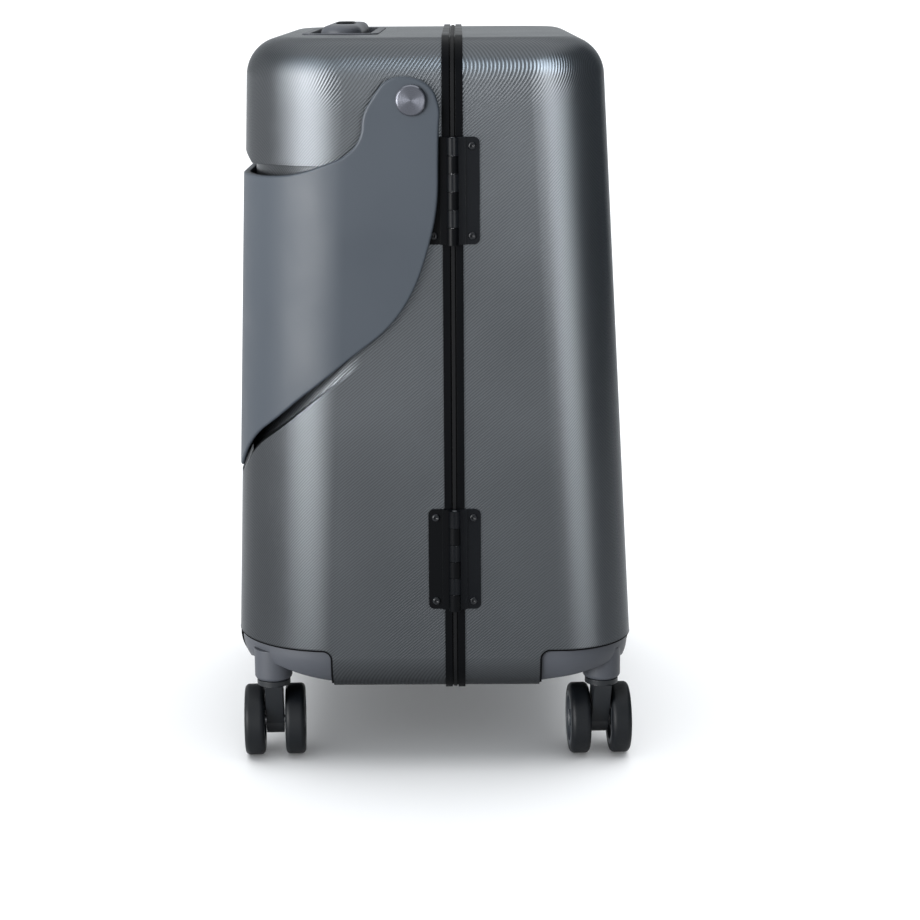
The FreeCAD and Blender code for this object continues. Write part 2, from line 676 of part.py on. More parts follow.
# Telescopic handle in the front half: cup, three tube stages, grip, button and push rods
HANDLE_X = -70.5
TUBE_SPREAD = 92.0
CUP_WIDTH = 42.0
CUP_LENGTH = 156.0
CUP_WALL = 1.8
CUP_DEPTH = 20.0
CUP_FLANGE = 3.0
CUP_FLANGE_THICKNESS = 0.8
CUP_ROUND = 7.0
TUBE_HALF_X = 7.0
TUBE_HALF_Y = 10.0
TUBE_ROUND = 3.2
TUBE_WALL = 0.9
TUBE_PLAY = 0.35
TUBE_BASE_HEIGHT = 10.0
TUBE_BASE_HALF_X = 10.0
TUBE_BASE_REACH = 14.0
STAGE_STEP = 6.0
GRIP_WIDTH = 26.0
GRIP_LENGTH = 134.0
GRIP_PROUD = 5.2
GRIP_HEIGHT = 15.5
GRIP_ROUND = 5.0
BUTTON_LENGTH = 32.0
BUTTON_WIDTH = 12.0
BUTTON_PROUD = 1.2
BUTTON_TRAVEL = 4.0
YOKE_HALF = 2.2
YOKE_HEIGHT = 3.0
YOKE_PLAY = 0.5
ROD_RADIUS = 2.2
CUP_FLOOR = CASE_TOP - CUP_DEPTH
GRIP_TOP = CASE_TOP + GRIP_PROUD
GRIP_BOTTOM = GRIP_TOP - GRIP_HEIGHT
TUBE_LOW = CASE_BOTTOM + SHELL_WALL + TUBE_BASE_HEIGHT
TUBE_YS = (-TUBE_SPREAD / 2, TUBE_SPREAD / 2)
STAGE_SHRINK = TUBE_WALL + TUBE_PLAY
YOKE_TOP = GRIP_TOP - GRIP_ROUND
YOKE_LOW = YOKE_TOP - YOKE_HEIGHT
YOKE_REST = YOKE_LOW - BUTTON_TRAVEL - YOKE_PLAY
STAGE_TOPS = (CUP_FLOOR + CUP_WALL, GRIP_BOTTOM - CLEAR - STAGE_STEP / 2, YOKE_REST)


def tube_bar(shrink, low, high, y):
    corner = max(TUBE_ROUND - shrink, TUBE_WALL)
    return rounded_bar(TUBE_HALF_X - shrink, TUBE_HALF_Y - shrink, corner, low, high, HANDLE_X, y)


def tube(stage, low, high, y):
    shrink = stage * STAGE_SHRINK
    return tube_bar(shrink, low, high, y).cut(tube_bar(shrink + TUBE_WALL, low - OVERRUN, high + OVERRUN, y))


def stage_low(stage):
    return TUBE_LOW + stage * STAGE_STEP


def handle_tubes(stage):
    return [tube(stage, stage_low(stage), STAGE_TOPS[stage], y) for y in TUBE_YS]


def handle_tube_base():
    reach = TUBE_SPREAD / 2 + TUBE_BASE_REACH
    floor = CASE_BOTTOM + SHELL_WALL
    return rounded_bar(TUBE_BASE_HALF_X, reach, TUBE_ROUND, floor, floor + TUBE_BASE_HEIGHT, HANDLE_X, 0)


def cup_block(grow, low, high):
    return rounded_bar(CUP_WIDTH / 2 + grow, CUP_LENGTH / 2 + grow, CUP_ROUND + grow, low, high, HANDLE_X, 0)


def handle_cup():
    flange_top = CASE_TOP + CUP_FLANGE_THICKNESS
    flange = cup_block(CUP_FLANGE, CASE_TOP, flange_top)
    flange = flange.makeFillet(CUP_FLANGE_THICKNESS / 2, edges_at(flange, lambda p: same(p.z, flange_top)))
    hollow = cup_block(-CUP_WALL, CUP_FLOOR + CUP_WALL, CASE_TOP + OVERRUN)
    cup = flange.fuse(cup_block(0, CUP_FLOOR, CASE_TOP)).cut(hollow)
    for y in TUBE_YS:
        cup = cup.cut(tube_bar(-TOUCH, 0, CASE_TOP + OVERRUN, y))
    return cup.removeSplitter()


def button_block(grow, low, high):
    half = BUTTON_WIDTH / 2 + grow
    return rounded_bar(half, BUTTON_LENGTH / 2 + grow, half - TOUCH, low, high, HANDLE_X, 0)


def yoke_block(grow, low, high):
    reach = TUBE_SPREAD / 2 + YOKE_HALF + grow
    half = YOKE_HALF + grow
    return span_box((HANDLE_X - half, HANDLE_X + half), (-reach, reach), (low, high))


def handle_grip():
    half = GRIP_WIDTH / 2
    grip = rounded_bar(half, GRIP_LENGTH / 2, half - TOUCH, GRIP_BOTTOM, GRIP_TOP, HANDLE_X, 0)
    grip = grip.makeFillet(GRIP_ROUND, edges_at(grip, lambda p: same(p.z, GRIP_TOP)))
    grip = grip.cut(button_block(CLEAR, YOKE_REST, GRIP_TOP + OVERRUN))
    grip = grip.cut(yoke_block(YOKE_PLAY, YOKE_REST, YOKE_TOP + YOKE_PLAY))
    for y in TUBE_YS:
        grip = grip.cut(tube_bar(2 * STAGE_SHRINK - TOUCH, 0, YOKE_REST, y))
        grip = grip.cut(rod(ROD_RADIUS + YOKE_PLAY, V(HANDLE_X, y, 0), V(HANDLE_X, y, YOKE_TOP)))
    return grip


def handle_button():
    top = GRIP_TOP + BUTTON_PROUD
    button = button_block(0, YOKE_LOW, top)
    button = button.makeFillet(BUTTON_PROUD, edges_at(button, lambda p: same(p.z, top)))
    return button.fuse(yoke_block(0, YOKE_LOW, YOKE_TOP)).removeSplitter()


def handle_push_rods():
    low = stage_low(2) + STAGE_STEP
    return [rod(ROD_RADIUS, V(HANDLE_X, y, low), V(HANDLE_X, y, YOKE_LOW)) for y in TUBE_YS]


# Soft pieces inside: the zipped divider of the front half, the lining and packing straps of the rear half
DIVIDER_THICKNESS = 1.8
LINING_THICKNESS = 1.0
STRAP_THICKNESS = 1.4
STRAP_WIDTH = 25.0
STRAP_SPREAD = 130.0
BUCKLE_LENGTH = 34.0
BUCKLE_HEIGHT = 5.0
BUCKLE_RISE = 197.0
BUCKLE_Z = CASE_BOTTOM + BUCKLE_RISE
LINING_START = FRAME_WIDTH + CLEAR
LINING_INSET = SHELL_WALL + CLEAR
STRAP_INSET = LINING_INSET + LINING_THICKNESS + CLEAR


def front_divider():
    start = -FRAME_WIDTH - CLEAR
    return ring_block(-LINING_INSET, (start, start - DIVIDER_THICKNESS))


def skin(half, start, inset, thickness):
    hollow = case_body(half, start - half * OVERRUN, inset + thickness)
    return case_body(half, start, inset).cut(hollow)


def rear_lining():
    cloth = skin(REAR, LINING_START, LINING_INSET, LINING_THICKNESS)
    for side in SIDES:
        cloth = cloth.cut(corner_block(REAR, side, HOUSING_WALL))
    for z in CARRY_ZS:
        cloth = cloth.cut(carry_line(z, CARRY_HEAD_RADIUS + CLEAR, 0, CASE_WIDTH))
    return cloth


def strap_band(y):
    band = skin(REAR, LINING_START, STRAP_INSET, STRAP_THICKNESS)
    half = STRAP_WIDTH / 2
    return band.common(span_box((0, CASE_WIDTH), (y - half, y + half), (0, CASE_TOP)))


def strap_buckle(y):
    half = STRAP_WIDTH / 2
    zs = (BUCKLE_Z - BUCKLE_LENGTH / 2, BUCKLE_Z + BUCKLE_LENGTH / 2)
    under = STRAP_INSET + STRAP_THICKNESS + CLEAR
    top = under + BUCKLE_HEIGHT
    outline = [(face_x(REAR, zs[0], under), zs[0]), (face_x(REAR, zs[1], under), zs[1]),
               (face_x(REAR, zs[1], top), zs[1]), (face_x(REAR, zs[0], top), zs[0])]
    buckle = side_prism(outline, half)
    buckle.translate(V(0, y, 0))
    return buckle


STRAP_YS = (-STRAP_SPREAD / 2, STRAP_SPREAD / 2)


# Shells
def shell_skin(half):
    start = half * SHELL_START
    outer = case_body(half, start, 0)
    hollow = case_body(half, start - half * OVERRUN, SHELL_WALL)
    if half == FRONT:
        outer = outer.cut(recess_tool(0))
        hollow = hollow.cut(recess_tool(SHELL_WALL))
    return outer.cut(hollow)


def shell(half):
    body = shell_skin(half)
    for side in SIDES:
        body = body.cut(corner_block(half, side, HOUSING_GAP))
    for centre in HINGE_CENTRES.values():
        for spot in rivet_spots(half, centre):
            body = body.cut(rivet_hole(spot))
    if half == FRONT:
        body = body.cut(rod(BOLT_RADIUS + TOUCH, pivot(-CASE_WIDTH), pivot(CASE_WIDTH)))
        body = body.cut(cup_block(TOUCH, CUP_FLOOR, CASE_TOP + OVERRUN))
    else:
        for z in CARRY_ZS:
            body = body.cut(carry_line(z, CARRY_LEG_RADIUS + SLIP, 0, CASE_WIDTH))
    return body


def save(name, shapes):
    solids = shapes if isinstance(shapes, list) else [shapes]
    shape = solids[0] if len(solids) == 1 else Part.makeCompound(solids)
    shape = shape.translated(V(FRAME_X, 0, 0))
    shape.exportStep("parts/" + name + ".step")


HALF_NAMES = {FRONT: "front", REAR: "rear"}
SIDE_NAMES = {HINGE_SIDE: "left", LATCH_SIDE: "right"}


def save_casters(half, side):
    name = HALF_NAMES[half] + "_" + SIDE_NAMES[side]
    save(name + "_housing", caster_housing(half, side))
    save(name + "_fork", turned(fork(), half, side))
    save(name + "_axle", turned(axle(), half, side))
    save(name + "_tyres", [turned(tyre(start), half, side) for start in WHEEL_STARTS])
    save(name + "_hubs", [turned(hub(start), half, side) for start in WHEEL_STARTS])


def both_sides(shape):
    return [shape, mirror_y(shape)]


def main():
    os.makedirs("parts", exist_ok=True)
    for half, name in HALF_NAMES.items():
        save(name + "_shell", shell(half))
        save(name + "_frame", frame_ring(half))
        save(name + "_hinge_rivets", hinge_rivets(half))
        save(name + "_kingpins", [kingpin(half, side) for side in SIDES])
        for place, centre in HINGE_CENTRES.items():
            save(place + "_hinge_" + name + "_leaf", hinge_leaf(half, centre))
        for side in SIDES:
            save_casters(half, side)
    save("frame_seal", frame_seal())
    save("hinge_pins", hinge_pins())
    save("seat_panel", seat_panel())
    save("seat_pivot_bushes", both_sides(seat_pivot_bush()))
    save("seat_pivot_bolts", both_sides(seat_pivot_bolt()))
    save("seat_pivot_nuts", both_sides(seat_pivot_nut()))
    for place, centre in HINGE_CENTRES.items():
        save(place + "_latch_base", latch_base(centre))
        save(place + "_latch_lever", latch_lever(centre))
    latch_centres = HINGE_CENTRES.values()
    save("latch_pins", [latch_pin_line(z, LATCH_PIN_RADIUS, LATCH_HEIGHT / 2) for z in latch_centres])
    save("latch_strikes", [latch_strike(z) for z in latch_centres])
    save("carry_mounts", [carry_mount(z) for z in CARRY_ZS])
    save("carry_handle", carry_handle())
    save("carry_heads", carry_heads())
    save("handle_cup", handle_cup())
    save("handle_tube_base", handle_tube_base())
    for stage, name in enumerate(("outer", "middle", "inner")):
        save("handle_" + name + "_tubes", handle_tubes(stage))
    save("handle_grip", handle_grip())
    save("handle_button", handle_button())
    save("handle_push_rods", handle_push_rods())
    save("front_divider", front_divider())
    save("rear_lining", rear_lining())
    save("packing_straps", [strap_band(y) for y in STRAP_YS])
    save("strap_buckles", [strap_buckle(y) for y in STRAP_YS])


if __name__ == "__main__":
    main()
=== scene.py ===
import bmesh
import bpy
import json
import math
from mathutils import Matrix, Vector

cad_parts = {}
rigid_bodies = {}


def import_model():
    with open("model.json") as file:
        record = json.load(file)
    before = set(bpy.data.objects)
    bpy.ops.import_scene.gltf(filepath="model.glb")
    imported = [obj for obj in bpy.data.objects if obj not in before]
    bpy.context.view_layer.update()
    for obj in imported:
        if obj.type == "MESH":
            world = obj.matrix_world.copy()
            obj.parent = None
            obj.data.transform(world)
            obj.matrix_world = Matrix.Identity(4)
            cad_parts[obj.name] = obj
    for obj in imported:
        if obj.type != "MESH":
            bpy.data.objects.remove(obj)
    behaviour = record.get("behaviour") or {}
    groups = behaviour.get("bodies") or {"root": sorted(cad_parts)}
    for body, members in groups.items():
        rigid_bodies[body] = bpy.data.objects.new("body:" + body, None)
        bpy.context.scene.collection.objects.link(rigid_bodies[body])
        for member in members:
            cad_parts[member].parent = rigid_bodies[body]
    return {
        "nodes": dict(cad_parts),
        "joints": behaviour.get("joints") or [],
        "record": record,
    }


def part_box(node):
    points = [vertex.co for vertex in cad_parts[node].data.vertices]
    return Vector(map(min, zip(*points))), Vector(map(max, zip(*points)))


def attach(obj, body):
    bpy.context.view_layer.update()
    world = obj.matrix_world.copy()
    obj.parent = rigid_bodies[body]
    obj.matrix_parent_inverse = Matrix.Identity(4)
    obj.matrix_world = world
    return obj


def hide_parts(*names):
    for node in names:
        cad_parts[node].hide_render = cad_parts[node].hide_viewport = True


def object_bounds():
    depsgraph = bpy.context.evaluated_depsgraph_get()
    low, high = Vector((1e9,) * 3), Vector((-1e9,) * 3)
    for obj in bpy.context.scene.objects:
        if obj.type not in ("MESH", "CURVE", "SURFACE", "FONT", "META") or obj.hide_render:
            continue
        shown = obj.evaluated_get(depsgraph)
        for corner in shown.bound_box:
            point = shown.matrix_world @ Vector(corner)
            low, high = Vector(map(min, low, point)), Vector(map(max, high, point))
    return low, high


# Looks of the ride-on suitcase: finishes for the CAD nodes, modelled cloth and trim, and the studio.
# Metres, in the frame's axes: X to the rear, Y from the hinge side to the latch side, Z up.

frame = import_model()
cad_low, cad_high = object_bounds()
scene = bpy.context.scene
nodes = frame["nodes"]
joints = {joint["name"]: joint for joint in frame["joints"]}
MM = 0.001
FRAME_X = joints["case_open"]["pos_m"][0]
PIVOT = Vector(joints["seat_fold"]["pos_m"])
REARWARD = Vector((1, 0, 0))
SIDEWAYS = Vector((0, 1, 0))
UPWARD = Vector((0, 0, 1))


# Camera at the photograph's viewing angle
PHOTO_SIZE = 920
FOCAL_PIXELS = 2097.0
SENSOR_WIDTH = 36.0
CAMERA_PITCH = math.radians(13.0)
CAMERA_ROLL = math.radians(-0.3)
CAMERA_OFFSET = Vector((0.0035, -1.418, 0.495))
CAMERA_REACH = 400.0


def make_camera():
    data = bpy.data.cameras.new("photo_camera")
    data.sensor_width = SENSOR_WIDTH
    data.lens = FOCAL_PIXELS / PHOTO_SIZE * SENSOR_WIDTH
    data.clip_end = CAMERA_REACH
    camera = bpy.data.objects.new("photo_camera", data)
    camera.location = Vector((FRAME_X, 0, 0)) + CAMERA_OFFSET
    tilt = Matrix.Rotation(math.pi / 2 - CAMERA_PITCH, 3, "X")
    camera.rotation_euler = (tilt @ Matrix.Rotation(CAMERA_ROLL, 3, "Z")).to_euler()
    scene.collection.objects.link(camera)
    scene.camera = camera


make_camera()


# Shader helpers
# The colour sockets of a mix node, which share their names with its other sockets
MIX_DARK = 6
MIX_LIGHT = 7
MIX_RESULT = 2
# Most of a noise lies within this span
NOISE_SPAN = (0.3, 0.7)
EDGE_SAMPLES = 6


class Finish:
    """A material under construction: a Principled shader and the nodes that feed it."""

    def __init__(self, name, colour, roughness, metallic=0.0, **sockets):
        self.material = bpy.data.materials.new(name)
        self.material.use_nodes = True
        self.tree = self.material.node_tree
        self.shader = self.tree.nodes["Principled BSDF"]
        sockets = {"Base_Color": (*colour, 1), "Roughness": roughness, "Metallic": metallic, **sockets}
        for socket, value in sockets.items():
            self.shader.inputs[socket.replace("_", " ")].default_value = value
        self.place = self.node("ShaderNodeTexCoord").outputs["Object"]
        self.normal = None

    def node(self, kind, inputs=None, **settings):
        made = self.tree.nodes.new(kind)
        for key, value in settings.items():
            setattr(made, key, value)
        for key, value in (inputs or {}).items():
            self.feed(made.inputs[key], value)
        return made

    def feed(self, socket, value):
        if isinstance(value, bpy.types.NodeSocket):
            self.tree.links.new(value, socket)
        else:
            socket.default_value = value

    def set_normal(self, socket):
        self.normal = socket
        self.feed(self.shader.inputs["Normal"], socket)

    def math(self, operation, *values):
        return self.node("ShaderNodeMath", dict(enumerate(values)), operation=operation).outputs[0]

    def axes(self):
        return self.node("ShaderNodeSeparateXYZ", {0: self.place}).outputs

    def noise(self, size, detail=2.0, rough=0.5, stretch=(1, 1, 1)):
        mapping = self.node("ShaderNodeMapping", {"Vector": self.place, "Scale": stretch})
        made = self.node("ShaderNodeTexNoise", {"Vector": mapping.outputs[0], "Scale": 1 / size,
                                                "Detail": detail, "Roughness": rough})
        return made.outputs["Fac"]

    def ramp(self, value, low, high, to_low, to_high):
        made = self.node("ShaderNodeMapRange", dict(enumerate((value, low, high, to_low, to_high))))
        return made.outputs[0]

    def tint(self, value, dark, light):
        made = self.node("ShaderNodeMix", {"Factor": value, MIX_DARK: (*dark, 1), MIX_LIGHT: (*light, 1)},
                         data_type="RGBA")
        self.feed(self.shader.inputs["Base Color"], made.outputs[MIX_RESULT])

    def mottle(self, fine, cloud, cloud_share, dark, light):
        patchy = self.math("MULTIPLY", cloud, cloud_share)
        self.tint(self.math("MULTIPLY_ADD", fine, 1 - cloud_share, patchy), dark, light)

    def rough(self, value, smoothest, roughest):
        self.feed(self.shader.inputs["Roughness"], self.ramp(value, *NOISE_SPAN, smoothest, roughest))

    def bump(self, height, depth, strength=1.0):
        made = self.node("ShaderNodeBump", {"Strength": strength, "Distance": depth, "Height": height})
        if self.normal:
            self.feed(made.inputs["Normal"], self.normal)
        self.set_normal(made.outputs[0])

    def vector(self, operation, *values):
        second = "Scale" if operation == "SCALE" else 1
        made = self.node("ShaderNodeVectorMath", dict(zip((0, second), values)), operation=operation)
        return made.outputs["Value" if operation == "DOT_PRODUCT" else "Vector"]

    def groove(self, phase, slope, heading):
        # Tips the normal to and fro along the heading, so a groove keeps its form at any size in the picture
        joined = self.node("ShaderNodeCombineXYZ", dict(enumerate(heading)))
        turned = self.node("ShaderNodeVectorTransform", {0: joined.outputs[0]}, vector_type="VECTOR",
                           convert_from="OBJECT", convert_to="WORLD")
        normal = self.normal
        inward = self.vector("SCALE", normal, self.vector("DOT_PRODUCT", turned.outputs[0], normal))
        along = self.vector("SUBTRACT", turned.outputs[0], inward)
        swing = self.math("MULTIPLY", self.math("COSINE", phase), slope)
        tipped = self.vector("SUBTRACT", normal, self.vector("SCALE", along, swing))
        self.set_normal(self.vector("NORMALIZE", tipped))

    def ease_edges(self, radius):
        self.set_normal(self.node("ShaderNodeBevel", {"Radius": radius}, samples=EDGE_SAMPLES).outputs[0])
        return self


def shade(colour, factor):
    return tuple(channel * factor for channel in colour)


def tones(colour, shares):
    return [shade(colour, share) for share in shares]


# Textured shells: fine slanting grooves that run on round the corners and turn upright below the top edge,
# with painted shade in their valleys and painted light on their ridges
SHELL_COLOUR = (0.0412, 0.0440, 0.0472)
SHELL_EDGE_TINT = (0.68, 0.69, 0.70, 1)
SHELL_BASE_ROUGHNESS = 0.26
SHELL_ROUGHNESS = (0.28, 0.32)
SHELL_METALLIC = 0.92
SHELL_TONE_SHARES = (0.45, 1.35)
SHELL_EASE = 1.2 * MM
SHELL_CLOUD = 60 * MM
SHELL_CLOUD_SHARE = 0.1
SHELL_FLAKE = 0.9 * MM
SHELL_FLAKE_SHARE = 0.2
GROOVE_ANGLE = math.radians(40.0)
GROOVE_PITCH = 1.5 * MM
GROOVE_SLOPE = 0.18
# How far the colour is darkened in the groove valleys and lightened on their ridges, as painted shade and
# painted light
GROOVE_PAINTED_SHADE = 0.28
GROOVE_TURN = (cad_high.z - 48 * MM, cad_high.z - 12 * MM)
WRAP_HALF = 100 * MM


def shell_finish(name, half, face_x):
    # Half is -1 for the front shell and 1 for the rear one, and face_x is where its end stands
    finish = Finish(name, SHELL_COLOUR, SHELL_BASE_ROUGHNESS, SHELL_METALLIC, Specular_Tint=SHELL_EDGE_TINT)
    slant = -half * math.sin(GROOVE_ANGLE)
    steep = math.cos(GROOVE_ANGLE)
    x, y, z = finish.axes()
    turn = finish.ramp(y, -WRAP_HALF, WRAP_HALF, half, -half)
    around = finish.math("MULTIPLY_ADD", finish.math("SUBTRACT", x, face_x), turn, y)
    upright = finish.ramp(z, *GROOVE_TURN, 0.0, 1.0)
    room = (GROOVE_TURN[1] - GROOVE_TURN[0]) / 2
    lowered = finish.math("MULTIPLY", finish.math("POWER", upright, 2.0), room)
    height = finish.math("SUBTRACT", finish.math("MINIMUM", z, GROOVE_TURN[1]), lowered)
    across = finish.math("MULTIPLY_ADD", around, slant, finish.math("MULTIPLY", height, steep))
    phase = finish.math("MULTIPLY", across, 2 * math.pi / GROOVE_PITCH)
    cloud = finish.noise(SHELL_CLOUD, detail=3.0)
    flake = finish.noise(SHELL_FLAKE, detail=1.0)
    finish.ease_edges(SHELL_EASE)
    finish.groove(phase, GROOVE_SLOPE, (
        finish.math("MULTIPLY", turn, slant), slant,
        finish.math("MULTIPLY", finish.math("SUBTRACT", 1.0, upright), steep)))
    # Painted shade in the groove valleys and painted light on their ridges, mixed into the colour with the
    # random cloud and flake
    valley_painted_shade = finish.math("MULTIPLY_ADD", finish.math("SINE", phase), GROOVE_PAINTED_SHADE, 0.5)
    patchy = finish.math("MULTIPLY_ADD", cloud, SHELL_CLOUD_SHARE, valley_painted_shade)
    finish.tint(finish.math("MULTIPLY_ADD", flake, SHELL_FLAKE_SHARE, patchy),
                *tones(SHELL_COLOUR, SHELL_TONE_SHARES))
    finish.rough(cloud, *SHELL_ROUGHNESS)
    return finish.material


# Moulded plastics, metals, rubber and cloth
SEAT_COLOUR = (0.0160, 0.0212, 0.0282)
HOUSING_COLOUR = (0.030, 0.033, 0.040)
BLACK = (0.0013, 0.0015, 0.0019)
CHARCOAL = (0.0017, 0.0025, 0.0036)
HUB_COLOUR = (0.029, 0.033, 0.038)
STEEL = (0.56, 0.56, 0.58)
TURNED_STEEL = (0.110, 0.114, 0.132)
ALLOY = (0.60, 0.61, 0.63)
LINING_COLOUR = (0.085, 0.095, 0.115)
POCKET_COLOUR = shade(LINING_COLOUR, 0.8)
WEBBING_COLOUR = (0.012, 0.013, 0.016)
# How far each finish goes below and above its colour and its roughness, and the sizes of its texture
PLASTIC_TONE_SHARES = (0.9, 1.1)
PLASTIC_SMOOTHER = 0.05
PLASTIC_ROUGHER = 0.06
PLASTIC_CLOUD = 45 * MM
PLASTIC_CLOUD_SHARE = 0.65
TURNED_TONE_SHARES = (0.82, 1.1)
TURNED_BASE_ROUGHNESS = 0.24
TURNED_ROUGHNESS = (0.2, 0.34)
TURNED_EASE = 0.7 * MM
RING_PITCH = 0.16 * MM
RING_DEPTH = 0.012 * MM
RING_STRENGTH = 0.8
DRAWN_TONE_SHARES = (0.85, 1.08)
DRAWN_SMOOTHER = 0.06
DRAWN_ROUGHER = 0.08
DRAWN_EASE = 0.25 * MM
DRAWN_LINE = 0.5 * MM
DRAWN_DEPTH = 0.008 * MM
CLOTH_TONE_SHARES = (0.7, 1.25)
CLOTH_ROUGHNESS = 0.85
CLOTH_SHEEN = 0.35
CLOTH_CLOUD = 30 * MM
WEAVE_DEPTH = 0.12 * MM
WEAVE_SHARE = 0.25
WEFT_LEAN = 0.5
FUZZ_SIZE = 0.4 * MM
FUZZ_DEPTH = 0.05 * MM
TYRE_TONE_SHARES = (0.75, 1.3)
TYRE_BASE_ROUGHNESS = 0.5
TYRE_ROUGHNESS = (0.44, 0.6)
TYRE_GLOSS = 0.2
TYRE_EASE = 0.8 * MM
TYRE_CLOUD = 14 * MM
TYRE_CLOUD_SHARE = 0.6
TYRE_FINE = 0.7 * MM
TYRE_DEPTH = 0.03 * MM


# Each plastic's colour, roughness, grain size, grain depth and eased edge in millimetres, and gloss
PLASTICS = {
    "black_plastic": (BLACK, 0.45, 0.8, 0.02, 0.5, 0.03),
    "black_steel": (BLACK, 0.32, 0.5, 0.01, 0.35, 0.045),
    "fork_plastic": (shade(CHARCOAL, 1.5), 0.42, 0.6, 0.02, 0.6, 0.3),
    "seat_soft_touch": (SEAT_COLOUR, 0.5, 0.55, 0.018, 1.5, 0.3),
    "frame_anodised": (BLACK, 0.34, 0.6, 0.01, 0.4, 0.03),
    "housing_plastic": (HOUSING_COLOUR, 0.48, 0.6, 0.02, 1.0, 0.3),
    "hub_plastic": (HUB_COLOUR, 0.42, 0.6, 0.012, 0.6, 0.3),
    "seal_rubber": (BLACK, 0.6, 0.7, 0.02, 0.5, 0.1),
    "buckle_plastic": (BLACK, 0.4, 0.7, 0.015, 0.3, 0.25),
    "screw_black": (shade(BLACK, 3), 0.26, 0.5, 0.004, 0.1, 0.2),
    # A black finish for the beads that stand in for the shade in the gaps round the caster housings
    "housing_gap_shade_bead_black": (BLACK, 0.6, 0.6, 0.01, 0.1, 0.03),
}


def plastic(name):
    colour, roughness, grain, depth, edge, gloss = PLASTICS[name]
    finish = Finish(name, colour, roughness, Specular_IOR_Level=gloss).ease_edges(edge * MM)
    cloud = finish.noise(PLASTIC_CLOUD, detail=3.0)
    fine = finish.noise(grain * MM, detail=2.0, rough=0.6)
    finish.bump(fine, depth * MM)
    finish.mottle(fine, cloud, PLASTIC_CLOUD_SHARE, *tones(colour, PLASTIC_TONE_SHARES))
    finish.rough(cloud, roughness - PLASTIC_SMOOTHER, roughness + PLASTIC_ROUGHER)
    return finish.material


def turned_metal(name, colour, axis_spot):
    # Fine rings round the pivot axis, as a lathe leaves them
    finish = Finish(name, colour, TURNED_BASE_ROUGHNESS, 1.0, Anisotropic=0.8, Anisotropic_Rotation=0.25)
    finish.ease_edges(TURNED_EASE)
    x, y, z = finish.axes()
    out = finish.math("SQRT", finish.math(
        "ADD", finish.math("POWER", finish.math("SUBTRACT", x, axis_spot.x), 2.0),
        finish.math("POWER", finish.math("SUBTRACT", z, axis_spot.z), 2.0)))
    ring_noise = finish.node("ShaderNodeTexNoise", {"W": out, "Scale": 1 / RING_PITCH, "Detail": 3.0},
                             noise_dimensions="1D")
    rings = ring_noise.outputs["Fac"]
    finish.bump(rings, RING_DEPTH, RING_STRENGTH)
    finish.tint(rings, *tones(colour, TURNED_TONE_SHARES))
    finish.rough(rings, *TURNED_ROUGHNESS)
    tangent = finish.node("ShaderNodeTangent", direction_type="RADIAL", axis="Y")
    finish.feed(finish.shader.inputs["Tangent"], tangent.outputs[0])
    return finish.material


def drawn_metal(name, colour, roughness, stretch):
    # Long fine draw lines along one axis
    finish = Finish(name, colour, roughness, 1.0).ease_edges(DRAWN_EASE)
    lines = finish.noise(DRAWN_LINE, detail=3.0, rough=0.6, stretch=stretch)
    finish.bump(lines, DRAWN_DEPTH)
    finish.tint(lines, *tones(colour, DRAWN_TONE_SHARES))
    finish.rough(lines, roughness - DRAWN_SMOOTHER, roughness + DRAWN_ROUGHER)
    return finish.material


def cloth(name, colour, pitch):
    # A plain weave whose two threads cross on any of the case's faces
    finish = Finish(name, colour, CLOTH_ROUGHNESS, Sheen_Weight=CLOTH_SHEEN)
    x, y, z = finish.axes()
    warp = finish.math("ADD", x, y)
    weft = finish.math("MULTIPLY_ADD", finish.math("SUBTRACT", x, y), WEFT_LEAN, z)
    turn = math.pi / pitch
    waves = [finish.math("SINE", finish.math("MULTIPLY", thread, turn)) for thread in (warp, weft)]
    weave = finish.math("MULTIPLY", waves[0], waves[1])
    cloud = finish.noise(CLOTH_CLOUD, detail=3.0)
    finish.bump(weave, WEAVE_DEPTH)
    finish.bump(finish.noise(FUZZ_SIZE), FUZZ_DEPTH)
    finish.tint(finish.math("MULTIPLY_ADD", weave, WEAVE_SHARE, cloud), *tones(colour, CLOTH_TONE_SHARES))
    return finish.material


def tyre_finish():
    finish = Finish("tyre_rubber", CHARCOAL, TYRE_BASE_ROUGHNESS, Specular_IOR_Level=TYRE_GLOSS)
    finish.ease_edges(TYRE_EASE)
    cloud = finish.noise(TYRE_CLOUD, detail=4.0)
    fine = finish.noise(TYRE_FINE, detail=3.0, rough=0.65)
    finish.bump(fine, TYRE_DEPTH)
    finish.mottle(fine, cloud, TYRE_CLOUD_SHARE, *tones(CHARCOAL, TYRE_TONE_SHARES))
    finish.rough(cloud, *TYRE_ROUGHNESS)
    return finish.material


def dress_nodes():
    fork_plastic = plastic("fork_plastic")
    by_slot = {
        "black_plastic": plastic("black_plastic"),
        "hinge_steel": plastic("black_steel"),
        "seat_plastic": plastic("seat_soft_touch"),
        "frame_alloy": plastic("frame_anodised"),
        "bright_steel": drawn_metal("drawn_steel", STEEL, roughness=0.3, stretch=(1, 1, 0.05)),
        "housing_plastic": plastic("housing_plastic"),
        "wheel_tyre": tyre_finish(),
        "hub_plastic": plastic("hub_plastic"),
        "seal_rubber": plastic("seal_rubber"),
        "tube_alloy": drawn_metal("tube_alloy", ALLOY, roughness=0.32, stretch=(1, 1, 0.03)),
    }
    by_node = {
        "front_shell": shell_finish("front_shell_grooved", -1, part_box("front_shell")[0].x),
        "rear_shell": shell_finish("rear_shell_grooved", 1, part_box("rear_shell")[1].x),
        "seat_pivot_bolts": turned_metal("turned_steel", TURNED_STEEL, PIVOT),
    }
    for entry in frame["record"]["subparts"]:
        node = entry["node"]
        usual = fork_plastic if node.endswith("_fork") else by_slot.get(entry["material_slot"])
        finish = by_node.get(node, usual)
        if finish:
            mesh = nodes[node].data
            mesh.materials.clear()
            mesh.materials.append(finish)


dress_nodes()


